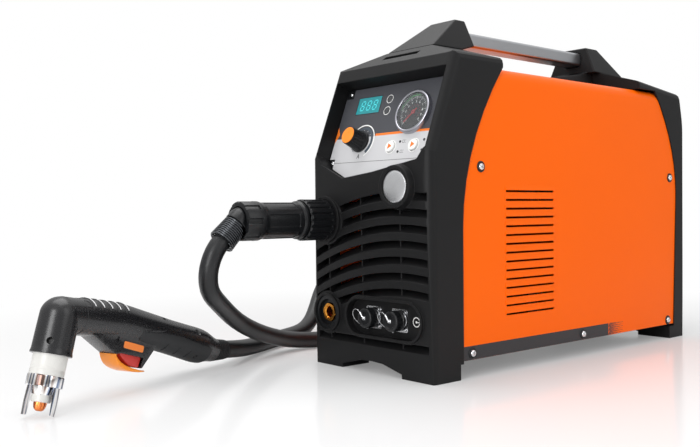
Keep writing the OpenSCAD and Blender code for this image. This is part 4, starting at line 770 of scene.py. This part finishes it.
def make_badge():
    """A domed disc with a satin metal face, left bare, in a black collar."""
    front = 30.4
    dome = [(0.01, front + 1.3)] + [(18.2 * math.sin(t), front + 1.3 * math.cos(t) - 0.02)
                                    for t in (0.12, 0.26, 0.42, 0.6, 0.8, 1.0, 1.2, 1.4, 1.55)]
    dome += [(18.9, front - 0.6), (19.1, front - 1.2), (19.1, front - 2.2), (0.01, front - 2.2)]
    piece("badge_face", lathed(dome, moved(54.5, -250, 197.5) @ FRONT, 96), BADGE_FACE, node="badge_disc",
          smooth=30)


make_panel_print()
make_button_marks()
make_display()
make_gauge()
make_badge()

# -------- sockets, screws and plug

FRONT_Y, SOCKET_Z = -262, 45.5                   # the face that carries the sockets, and their height
SOCKETS = [moved(x, FRONT_Y, SOCKET_Z) @ FRONT for x in (23 - 21.75, 23 + 21.75)]


def make_control_sockets():
    """Nickel flanges with a threaded neck, a stepped rim and four screws each."""
    neck = [(6.6, 0.2), (10.6, 0.2), (10.6, 2.8), (10.2, 3.1), (9.2, 3.1), (8.8, 3.3), (9, 3.8), (8.7, 4.4),
            (9, 5.0), (8.7, 5.6), (9, 6.2), (8.7, 6.8), (9, 7.4), (8.7, 8.4), (8.3, 8.8), (6.6, 8.8), (6.6, 0.2)]
    head = [(0.01, 2.7), (0.7, 2.7), (0.8, 3.3), (1.4, 3.15), (1.8, 2.6), (1.9, 1.9), (0.01, 1.9)]
    meshes = []
    for place in SOCKETS:
        meshes += [flat_mesh([rounded_loop(26, 26, 2.2), ring(0, 0, 6.6)], 0, 2, place), lathed(neck, place)]
        meshes += [lathed(head, place @ moved(dx, dy, 0), 20) for dx in (-9.8, 9.8) for dy in (-9.8, 9.8)]
    fine("control_sockets", joined(meshes), 35)


def make_dust_caps():
    """Moulded caps with a fine knurl and a recessed face."""
    def knurl(r, h, angle):
        return r - 0.3 * (0.5 + 0.5 * math.cos(24 * angle)) if r > 11.5 and h > 8 else r
    profile = [(9.15, 3.5), (11.4, 3.4), (11.8, 3.8), (11.8, 7.0), (11.2, 7.4), (11.2, 8.1), (11.8, 8.5),
               (11.8, 15.9), (11.3, 17.2), (10.3, 17.9), (8.0, 18.0), (7.6, 17.5), (0.01, 17.5), (0.01, 9.4),
               (9.15, 9.4), (9.15, 3.5)]
    for node, place in zip(("dust_cap_left", "dust_cap_right"), SOCKETS):
        fine(node, lathed(profile, place, 120, knurl), 40)


def make_lanyards():
    """Thin wire loops between each cap's middle and its flange, crimped into a tag at the cap."""
    wire = smooth_line([
        (-0.6, 0.6, 19.6), (-2.2, 5, 20.8), (-6, 9.6, 21.6), (-11.5, 11.2, 21.4), (-17, 7.5, 20.5), (-19, 0, 18),
        (-17, -6.5, 13), (-13.6, -10.4, 8), (-11.4, -12, 4), (-11, -12, 2.2)], 5)
    tag = smooth_line([(1.4, -1.2, 19.5), (-0.4, 0.4, 19.6), (-2.0, 4.4, 20.6), (-3.6, 7.4, 21.2)], 4)
    rivet = [(0.01, 18.9), (1.6, 18.7), (2.2, 18.3), (2.3, 17.7), (0.01, 17.7)]
    eye = [(2.0, 2.1), (3.2, 2.1), (3.2, 2.7), (2.0, 2.7), (2.0, 2.1)]

    def crimp(share, a):
        return (1.7 if share < 0.35 else 1.25) * (1 - 0.35 * abs(math.sin(a)))
    meshes = []
    for place in SOCKETS:
        meshes += [tube(wire, 0.42, 8, place), tube(tag, crimp, 12, place), lathed(rivet, place, 24),
                   lathed(eye, place @ moved(-11, -12, 0.05), 24)]
    piece("lanyard_wires", joined(meshes), NICKEL, node="cap_lanyards", smooth=50)


def make_earth_insert():
    """The brass insert: six flats round its mouth, and a chamfered bore."""
    def flats(r, h, angle):
        if r < 10 or h < 262:
            return r
        off = (angle + 0.2) % (math.pi / 3) - math.pi / 6
        return min(r, 10.4 / math.cos(off))
    profile = [(6.5, 236), (6.5, 267.6), (7.5, 268.9), (10.9, 268.9), (11.6, 268.0), (11.9, 262), (11.9, 261.9),
               (11.9, 236), (6.5, 236)]
    piece("earth_insert_fine", lathed(profile, moved(-76, 0, SOCKET_Z) @ FRONT, 96, flats), BRASS,
          node="earth_socket_insert", smooth=25)


# Screws on each side of the cover, as y and z, and on the panel, as x across it and height up its face
SCREW_AT = ((-188, 220), (230, 214), (224, 7), (12, 8), (-204, 8))
PANEL_SCREW_AT = ((-86, 91), (86, 91), (-86, -4), (86, -4))


def make_screws():
    """Pan-head screws in black cup washers on the cover, and small screws on the panel."""
    heads, washers = [], []
    head = [(0.01, 2.0), (0.9, 2.0), (1.3, 3.15), (2.4, 3.1), (3.4, 2.6), (4.0, 1.6), (4.1, 0.7), (0.01, 0.7)]
    cup = [(3.9, 0.05), (6.6, 0.03), (6.5, 0.7), (5.9, 1.25), (5.1, 1.3), (4.4, 0.9), (3.9, 0.05)]
    for side, sign in ((SIDE_RIGHT, 1), (SIDE_LEFT, -1)):
        for y, z in SCREW_AT:
            heads.append(lathed(head, side @ moved(sign * y, z, 0), 28))
            washers.append(lathed(cup, side @ moved(sign * y, z, 0), 32))
    small = [(0.01, 1.0), (0.6, 1.0), (0.8, 1.75), (1.9, 1.6), (2.8, 1.0), (3.2, 0.2), (3.2, 0.02), (0.01, 0.02)]
    for x, y in PANEL_SCREW_AT:
        heads.append(lathed(small, PANEL @ moved(x, y, 0), 24))
    piece("screw_heads", joined(heads), NICKEL, node="case_screws", smooth=45)
    piece("cup_washers", joined(washers), GLOSSY_ABS, smooth=45)


def make_torch_plug():
    """The plug: six long recesses round its barrel, a notched collar and the ball joint of the lead."""
    def form(r, h, angle):
        off = (angle + math.pi / 6) % (math.pi / 3) - math.pi / 6
        if 327.5 < h < 370.5 and abs(off) < math.radians(19):
            r -= 0.9
        off = (angle + math.pi / 8) % (math.pi / 4) - math.pi / 8
        if h > 382 and r > 22 and abs(off) < math.radians(9):
            r -= 1.6
        return r
    profile = [(15, 296), (21.3, 296), (21.4, 297), (21.4, 314), (22.6, 314.3), (23, 315), (23, 319.2), (22.6, 320),
               (21.4, 321.4), (21.4, 326.4), (21.4, 327.3), (21.4, 327.7), (21.4, 370.3), (21.4, 370.7),
               (21.4, 372), (21.9, 374.4), (22.8, 376.6), (23, 377.6), (23, 381.8), (23, 382.2), (23, 399.6),
               (22.4, 401), (21.2, 401.5), (17.4, 401.5), (16.6, 400), (16.6, 388), (15, 386)]
    points, faces = lathe(profile, 120, form)
    shaped, notch = [], 15.6
    for x, y, h in points:
        if h > 376 and abs(x) < notch and y < 6:     # the collar is cut away round the lead below the joint
            edge = 398.5 + (-math.sqrt(notch ** 2 - x * x) - (y - 2) * 0.719) / 0.695
            h = min(h, max(edge, 377.8))
        shaped.append((x, y, h))
    barrel = mesh_of(shaped, faces, moved(-76, 0, 160) @ FRONT)
    ball = [(0.01, -14.6), (5, -13.7), (9.6, -11), (12.9, -6.6), (14.4, -1), (14.4, 7.4), (13.8, 8), (11.2, 8)]
    joint = Matrix.Translation(BALL_AT * MM) @ SPRING_TURN
    fine("torch_plug", joined([barrel, lathed(ball, joint, 48)]), 32)


make_control_sockets()
make_dust_caps()
make_lanyards()
make_earth_insert()
make_screws()
make_torch_plug()

# -------- torch

RIBS, RIB_FROM, RIB_PITCH, RIB_WIDE, RIB_HIGH = 5, 4.2, 12, 3, 1.3
RIB_GLINT_AT, RIB_GLINT_OUT, RIB_GLINT_R = 2.9, 1.05, 0.7       # a rib's painted highlight strip: along it, above the shell, its radius
BODY_RADII = ((-9, 18.4), (0, 18.5), (61, 18.6), (141, 18.6), (168, 19.2), (192, 20), (202, 19.6), (210, 18.2),
              (217, 16.4), (224, 15.1), (230, 14.2))
SCREW_PITS = ((121, 34), (178, 50), (-1, 40))    # how far along the shells, and degrees from their top
PIT_DEEP, PIT_WIDE, SEAM_DEEP = 2.4, 7, 0.35
# Half the widths of the housing, of the room in it, and of the trigger and the lever's hub in that room
HOUSING_HALF, ROOM_HALF, TRIGGER_HALF, HUB_HALF = 11, 8.9, 8.5, 8
# The housing's top edge, and half its width there, at places along the torch
HOUSING_TOP = ((62, 71), (80, 70), (103.6, 67.6), (132, 65.8), (163.5, 61.5))
HOUSING_WIDE = ((62, 11), (82, 11.4), (103.6, 15), (132, 18.8), (163.5, 19.4))
# The grip pad: where it begins and ends, its top edge in degrees from the top, its slots and its screw pit
PAD_START, PAD_END, PAD_STEPS, PAD_PROUD = 80, 207, 180, 1.0
PAD_EDGE = ((0, 109), (82, 107), (118, 92), (144, 87), (172, 90), (230, 98))
PAD_SLOTS, PAD_PIT = (127, 149, 168.5), 182


def between(table, t):
    """Straight steps between the table's values, rounded off over a few millimetres."""
    def at(t):
        for (t0, v0), (t1, v1) in zip(table, table[1:]):
            if t <= t1:
                return v0 + (v1 - v0) * max(0, t - t0) / (t1 - t0)
        return table[-1][1]
    return sum(at(t + d) for d in (-5, -2.5, 0, 2.5, 5)) / 5


def body_point(t):
    """A point of the torch body's middle line, t mm behind its front end, in the torch's upright plane."""
    def at(t):
        if t < NECK_LEN - NECK_SEAM:
            way, start, drop = t + NECK_SEAM, NECK_AT, NECK_DROP
        else:
            way, start, drop = t - NECK_LEN + NECK_SEAM, BEND_AT, GRIP_DROP
        a = math.radians(drop)
        return start[0] + way * math.cos(a), start[1] - way * math.sin(a)
    near = [at(t + d) for d in (-8, -4, 0, 4, 8)]
    return Vector((sum(q[0] for q in near) / len(near), 0, sum(q[1] for q in near) / len(near)))


def gate(value, low, high, soft):
    """1 between low and high, and 0 outside them, with a ramp of width soft."""
    return max(0.0, min(1.0, (value - low) / soft + 0.5, (high - value) / soft + 0.5))


def from_top(a):
    """Degrees round the body from its top, negative on the near side."""
    return (math.degrees(a) - 270 + 180) % 360 - 180


def dimple(t, a, at_t, at_a, long, wide, lean, r):
    """How deep inside a slanted oval a place on the body lies, from 0 at its rim to 1."""
    dx, dy = t - at_t, math.radians(from_top(a) - at_a) * r
    c, k = math.cos(math.radians(lean)), math.sin(math.radians(lean))
    u, v = (dx * c + dy * k) / (long / 2), (-dx * k + dy * c) / (wide / 2)
    return max(0.0, 1 - (u * u + v * v) ** 2)


def shell_tube():
    """The round shells: ribs over their top, screw pits and the seam between them."""
    steps = sorted({-5.0, -4.5, 229.0} | {i * 1.5 for i in range(-2, 153)}
                   | {RIB_FROM + RIB_PITCH * k + d for k in range(RIBS) for d in (-0.7, 0, 0.5, 2.6, 3.4)})

    def radius(share, a):
        t = steps[round(share * (len(steps) - 1))]
        off = from_top(a)
        r = between(BODY_RADII, t) - (0.5 if t == -5 else 0)
        for k in range(RIBS):
            start = RIB_FROM + RIB_PITCH * k
            r += RIB_HIGH * gate(t, start, start + RIB_WIDE, 0.7) * gate(off, -60, 60, 5)
        for at_t, at_a in SCREW_PITS:
            for side in (-1, 1):
                r -= PIT_DEEP * min(1, 2 * dimple(t, a, at_t, side * at_a, PIT_WIDE, PIT_WIDE, 0, 19))
        return r - SEAM_DEEP * (gate(abs(off), -1, 1.2, 0.8) + gate(abs(off), 178.8, 181, 0.8))
    return tube([body_point(t) for t in steps], radius, 144, TORCH)


def trigger_housing():
    """The housing that the shells form round the trigger: cheeks that widen towards the shells."""
    outline = [(62, 71), (93.2, 47), (94.4, 46.2), (103, 45.8), (136.9, 35.2), (132.6, 26.6), (132.2, 24.9),
               (134.4, 25.1), (156.4, 43.1), (160.6, 54.6), (163.4, 61.8), (150, 64.2), (132.3, 66), (118, 66.9),
               (103.6, 67.8), (80, 70.2)]
    room = [(94.4, 10), (94.4, 52), (96, 53.6), (101.5, 53.6), (110, 52.2), (137.8, 43.2), (137.6, 37), (133.8, 27),
            (133.4, 10)]
    block = flat_mesh([outline], -HOUSING_HALF, HOUSING_HALF, TORCH_SIDE)
    housing = eased(cut(block, [flat_mesh([room], -ROOM_HALF, ROOM_HALF, TORCH_SIDE),
                                flat_mesh([ring(98.3, 62, 1.7, 24)], 9, 14, TORCH_SIDE)]), 0.8)
    bm = opened(housing)
    bm.transform(TORCH_SIDE.inverted())
    sliced(bm, (0, 1, 0), range(46, 72, 2))
    sliced(bm, (1, 0, 0), range(70, 164, 8))
    for v in bm.verts:
        along, high = v.co.x / MM, v.co.y / MM
        low = 58.5 - (along - 107) * 0.31            # the line where the cheeks begin to widen
        top, wide = between(HOUSING_TOP, along), between(HOUSING_WIDE, along)
        share = min(1, max(0, (high - low) / max(1, top - low)))
        v.co.z *= 1 + (wide / HOUSING_HALF - 1) * share ** 1.5
    bm.transform(TORCH_SIDE)
    return closed(bm, housing)


def make_torch_body():
    """Two clamped half shells with the housing of the trigger, and light strips painted on their ribs as
    highlights.
    """
    shell = piece("torch_shells_fine", joined([shell_tube(), trigger_housing()]), TORCH_PA, smooth=32,
                  node="torch_shell_left")
    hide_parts("torch_shell_right")
    edges = []
    # Thin light strips along the ribs' rear edges: painted highlights, not a finish of the nylon
    for k in range(RIBS):
        t = RIB_FROM + RIB_PITCH * k + RIB_GLINT_AT
        at, way = body_point(t), (body_point(t + 1) - body_point(t - 1)).normalized()
        up = Vector((-way.z, 0, way.x))
        r = between(BODY_RADII, t) + RIB_GLINT_OUT
        line = [at + up * r * math.cos(math.radians(o)) + Vector((0, 1, 0)) * r * math.sin(math.radians(o))
                for o in range(-54, 55, 4)]
        edges.append(tube(line, RIB_GLINT_R, 8, TORCH))
    piece("painted_rib_highlights", joined(edges), RIB_HIGHLIGHT_PAINT, smooth=50)


def make_grip_pad():
    """Soft rubber over the lower half of the grip, with slanted finger slots."""
    steps = [PAD_START + (PAD_END - PAD_START) * i / PAD_STEPS for i in range(PAD_STEPS + 1)]

    def radius(share, a):
        t = steps[round(share * PAD_STEPS)]
        inside = (gate(t, PAD_START + 1.2, PAD_END - 1.2, 1.6)
                  * gate(abs(from_top(a)), between(PAD_EDGE, t), 400, 2.0))
        depth = PAD_PROUD * inside - 1.4 * (1 - inside)
        for side in (-1, 1):
            for at_t in PAD_SLOTS:
                depth -= 1.2 * min(1, 2.5 * dimple(t, a, at_t, side * 142, 13, 3.2, -side * 88, 18.8))
            depth -= 2.6 * min(1, 2 * dimple(t, a, PAD_PIT, side * 138, 6, 5, 0, 19.6))
        return between(BODY_RADII, t) + depth
    piece("grip_pad", tube([body_point(t) for t in steps], radius, 168, TORCH), GRIP_RUBBER,
          smooth=40)


def make_torch_head():
    """A smooth capsule with a flared rim, a screw pit, and the stub that carries the shells."""
    r, dome_at = 18.8, 93
    rim = [(16.7, 59), (16.7, 55.6), (17.2, 55.2), (19.5, 55.2), (20.0, 55.7), (20.0, 56.4), (19.4, 59.0),
           (19.3, 61), (19.2, 72), (19.0, 82), (r, dome_at)]
    dome = [polar((0, dome_at), r, 5 * k) for k in range(1, 18)]
    capsule = lathed([(0.01, 59)] + rim + dome + [(0.01, dome_at + r)], HEAD, 96)
    pit = lathed([(0.01, 13), (3.4, 13), (3.4, 26), (0.01, 26)],
                 HEAD @ moved(0, 0, 67) @ turned_by(-55, "Z") @ FRONT, 32)
    a = math.radians(NECK_DROP)
    line = [(NECK_AT[0] + way * math.cos(a), 0, NECK_AT[1] - way * math.sin(a))
            for way in (0, 6, 12, 18, NECK_SEAM, NECK_SEAM + 2)]
    fine("torch_head", joined([cut(capsule, [pit]), tube(line, 18.05, 96, TORCH)]), 35)


def make_trigger():
    """The moulded trigger and the bowed safety lever in front of it."""
    side = [(103.2, 43.2), (103.2, 50), (104.8, 51.4), (108, 51.2), (135.9, 39.2), (135.4, 36), (130.6, 26),
            (128.5, 26.2), (122, 28.2), (114.5, 31.6), (107, 39)]
    fine("torch_trigger", eased(flat_mesh([side], -TRIGGER_HALF, TRIGGER_HALF, TORCH_SIDE), 1.0), 40)
    bow = [(93.2, 46.6), (94.4, 42), (96.2, 38), (99, 34.2), (103, 31), (107.5, 28.4), (113, 25.9), (120, 23.4),
           (129, 21.5), (137.3, 20.6), (137.7, 21.2), (137, 22.0), (132, 22.9), (127, 24.7), (120, 27.2), (113, 30),
           (107, 33), (102.4, 36.2), (98.6, 39.6), (95.6, 43.2), (94.3, 46.6)]
    hub = [(93.8, 44), (95.9, 49.6), (96.9, 51.9), (99, 52.7), (101.1, 51.9), (102.1, 49.6), (98, 43), (95.4, 43.4)]
    plates = [eased(flat_mesh([loop], -half, half, TORCH_SIDE), 0.5, 40)
              for loop, half in ((bow, HOUSING_HALF), (hub, HUB_HALF))]
    fine("safety_lever", joined(plates), 40)


def make_label():
    """A bare orange plate in a dark rim, set into the side of the housing."""
    place = TORCH_SIDE @ moved(121.3, 49.7, 11) @ turned_by(-18.3, "Z")
    printed("label_rim", [rounded_loop(33.6, 9.0, 2.6), rounded_loop(31.9, 7.3, 1.9)], INK_BLACK, -0.2, 0.35,
            place)
    printed("label_plate", [rounded_loop(32.2, 7.6, 2.0)], LABEL_ORANGE, -0.2, 0.2, place)


LEG_R, LEG_HALF, LEG_THICK, LEG_SLICES = 13.4, 7.4, 1.5, 14
LEGS = ((-64, -1.0), (118, -2.4))                # degrees round the head, and the height of the foot


def guide_leg(side, foot):
    """A tapered leg of the guide, bent round the cup and bowed a little outwards."""
    outer = [(-LEG_HALF, 26), (-7.0, 22), (-6.2, 9), (-5.0, foot + 0.9), (-4.0, foot), (4.0, foot),
             (5.0, foot + 0.9), (6.2, 9), (7.0, 22), (LEG_HALF, 26)]
    leg = flat_mesh([outer], 0, LEG_THICK, ROW)
    bm = opened(leg)
    sliced(bm, (1, 0, 0), [LEG_HALF * (2 * k / LEG_SLICES - 1) for k in range(1, LEG_SLICES)])
    for v in bm.verts:
        q = v.co / MM
        r = LEG_R + q.z + 0.5 * math.sin(math.pi * min(1, max(0, q.y / 24)))
        bent = Vector((r * math.cos(q.x / LEG_R), r * math.sin(q.x / LEG_R), q.y))
        v.co = HEAD @ turned_by(side, "Z") @ (bent * MM)
    return closed(bm, leg)


def make_torch_front():
    """The stand-off guide, the glazed shield cup with its metal collar, and the fluted copper nozzle."""
    crown = [(16.5, 24.9), (13.0, 24.9), (12.95, 35.5), (16.5, 35.5), (17.05, 35.1), (17.2, 34.5), (17.2, 25.8),
             (17.0, 25.2), (16.5, 24.9)]
    guide = joined([lathed(crown, HEAD, 96)] + [guide_leg(*leg) for leg in LEGS])
    fine("standoff_guide", guide, 40)
    cup = [(6.6, 10.4), (8.2, 10.4), (9.1, 11.0), (9.4, 12.2), (9.4, 17.6), (9.0, 17.8), (9.0, 25.0), (12.6, 25.2),
           (12.7, 35), (15.9, 35.1), (16.4, 35.7), (16.4, 40.6), (16.2, 40.9), (16.2, 41.4), (16.4, 41.7),
           (16.4, 58), (6.6, 58), (6.6, 10.4)]
    fine("shield_cup", lathed(cup, HEAD, 96), 35)
    collar = [(9.1, 17.5), (9.7, 17.5), (10.0, 17.9), (11.0, 24.9), (9.1, 25.0), (9.1, 17.5)]
    piece("cup_collar", lathed(collar, HEAD, 72), CHROMED_GUIDE, smooth=35)

    def flutes(r, h, angle):
        return r - 0.5 * (0.5 - 0.5 * math.cos(8 * angle)) ** 2 if r > 4.5 and 3 < h < 12 else r
    tip = [(0.7, 2.4), (2.2, 2.3), (3.4, 2.8), (4.6, 4.0), (5.4, 5.6), (5.9, 7.6), (6.1, 9.6), (6.2, 12), (6.3, 13),
           (6.3, 46), (4.6, 46), (4.6, 8), (0.7, 6), (0.7, 2.4)]
    fine("nozzle", lathed(tip, HEAD, 96, flutes), 40)


def make_boot():
    """The ribbed boot that holds the lead in the grip."""
    profile = [(11.2, -16), (13.1, -16), (13.1, -1)]
    for k in range(6):
        h, r = 0.5 + 3.7 * k, 13.4 - 0.22 * k
        profile += [(r - 1.2, h), (r - 0.2, h + 0.35), (r, h + 0.9), (r, h + 1.7), (r - 0.2, h + 2.2),
                    (r - 1.2, h + 2.6)]
    profile += [(11.9, 23.4), (11.7, 24.9), (11.2, 25), (11.2, -16)]
    return fine("torch_boot", lathed(profile, BOOT, 72), 40)


make_torch_body()
make_grip_pad()
make_torch_head()
make_trigger()
make_label()
make_torch_front()
TORCH_BOOT = make_boot()

# -------- print on the case


def make_case_print():
    """The charcoal band along the foot of the cover, breaking up into rows of squares."""
    for name, side, sign in (("right", SIDE_RIGHT, 1), ("left", SIDE_LEFT, -1)):
        loops = [[(sign * y, z) for y, z in ((-222, 0.6), (70.6, 0.6), (70.6, 16.4), (-222, 16.4))]]
        for row in range(6):
            for col in range(10):
                size = 2.7 - 0.2 * col
                y, z = 72.8 + col * 3.4 + (row % 2) * 1.7, 2.2 + row * 2.6
                loops.append([(sign * (y + dy * size / 2 + 0.3 * dz * size), z + dz * size / 2)
                              for dy, dz in ((-1, -1), (1, -1), (1, 1), (-1, 1))])
        if sign < 0:
            loops = [loop[::-1] for loop in loops]
        printed("foot_band_" + name, loops, INK_BLACK, matrix=side)


def make_earth_mark():
    """The earth sign beside the control sockets: a ring with a lead to its right."""
    x, z = 69.5, SOCKET_Z
    loops = [ring(x, z, 5.6, 40, 10, 340, inner=4.7), box_loop(x + 4.2, z, 6.4, 0.9), ring(x, z, 1.3, 20)]
    printed("earth_mark", loops, INK_WHITE, matrix=moved(0, FRONT_Y, 0) @ FRONT)


make_case_print()
make_earth_mark()

# -------- floor and light


FLOOR_HALF = 12000


def make_floor():
    """A white sheet that mirrors the part softly near it and fades to plain white further out."""
    corners = [(x * FLOOR_HALF, y * FLOOR_HALF, FLOOR_Z) for x, y in ((-1, -1), (1, -1), (1, 1), (-1, 1))]
    mesh = mesh_of(corners, [(0, 1, 2, 3)])
    floor = placed("floor", mesh)
    material = bpy.data.materials.new("white_acrylic_sheet")
    tree = emptied(material)
    place = add(tree, "TexCoord")["Object"]
    cloud = add(tree, "TexNoise", {"Vector": place, "Scale": 3.0, "Detail": 2.0})["Fac"]
    tint = add(tree, "Mix", {"Factor": cloud, 6: lin("#F4F4F5"), 7: lin("#FCFCFC")}, data_type="RGBA")[2]
    shader = add(tree, "BsdfPrincipled", {"Base Color": tint, "Roughness": 0.14, "IOR": 1.4})["BSDF"]
    seen = add(tree, "LightPath")["Is Camera Ray"]
    away = add(tree, "VectorMath", {0: place, 1: (0.0, -0.1, FLOOR_Z * MM)}, operation="DISTANCE")["Value"]
    fade = add(tree, "MapRange", {"Value": away, "From Min": 0.25, "From Max": 1.05, "To Min": 0.2,
                                  "To Max": 1.0}, interpolation_type="SMOOTHSTEP")["Result"]
    share = add(tree, "Math", {0: fade, 1: seen}, operation="MULTIPLY")[0]
    white = add(tree, "Emission", {"Color": (1, 1, 1, 1), "Strength": 1.0})["Emission"]
    mixed = add(tree, "MixShader", {0: share, 1: shader, 2: white})[0]
    add(tree, "OutputMaterial", {"Surface": mixed})
    mesh.materials.append(material)


def make_world():
    """White behind the part, dimmer light on it, and for reflections a studio that is bright overhead."""
    world = bpy.data.worlds.new("studio")
    bpy.context.scene.world = world
    tree = emptied(world)
    path = add(tree, "LightPath")
    seen = add(tree, "Math", {0: path["Is Camera Ray"], 1: path["Is Glossy Ray"]}, operation="MAXIMUM")[0]
    seen = add(tree, "Math", {0: seen, 1: path["Is Transmission Ray"]}, operation="MAXIMUM")[0]
    height = add(tree, "SeparateXYZ", {0: add(tree, "TexCoord")["Generated"]})["Z"]
    sky = add(tree, "MapRange", {"Value": height, "From Min": -0.1, "From Max": 0.9, "To Min": 0.34,
                                 "To Max": 1.15})["Result"]
    plain = add(tree, "Math", {0: path["Is Camera Ray"], 1: path["Is Transmission Ray"]}, operation="MAXIMUM")[0]
    mirror = add(tree, "Mix", {"Factor": plain, 2: sky, 3: 1.0}, data_type="FLOAT")[0]
    level = add(tree, "Mix", {"Factor": seen, 2: 0.6, 3: mirror}, data_type="FLOAT")[0]
    glow = add(tree, "Background", {"Color": (1, 1, 1, 1), "Strength": level})["Background"]
    add(tree, "OutputWorld", {"Surface": glow})


def lamp(name, at, towards, size, watts):
    """A rectangular softbox, with its places and size in metres."""
    data = bpy.data.lights.new(name, "AREA")
    data.shape, data.size, data.size_y, data.energy = "RECTANGLE", size[0], size[1], watts
    thing = placed(name, data)
    thing.location = at
    thing.rotation_euler = (Vector(towards) - Vector(at)).to_track_quat("-Z", "Y").to_euler()


make_floor()
make_world()
for name, at, towards, size, watts in (
        ("top", (-0.3, -0.2, 1.8), (0, -0.1, 0.1), (1.6, 1.6), 22),
        ("side", (1.9, 0.3, 1.1), (0, 0, 0.15), (1.2, 1.6), 7),
        ("front", (0.75, -2.0, 0.6), (-0.05, -0.6, 0.08), (0.7, 1.4), 20)):
    lamp("softbox_" + name, at, towards, size, watts)

bpy.context.scene.view_settings.view_transform = "Standard"
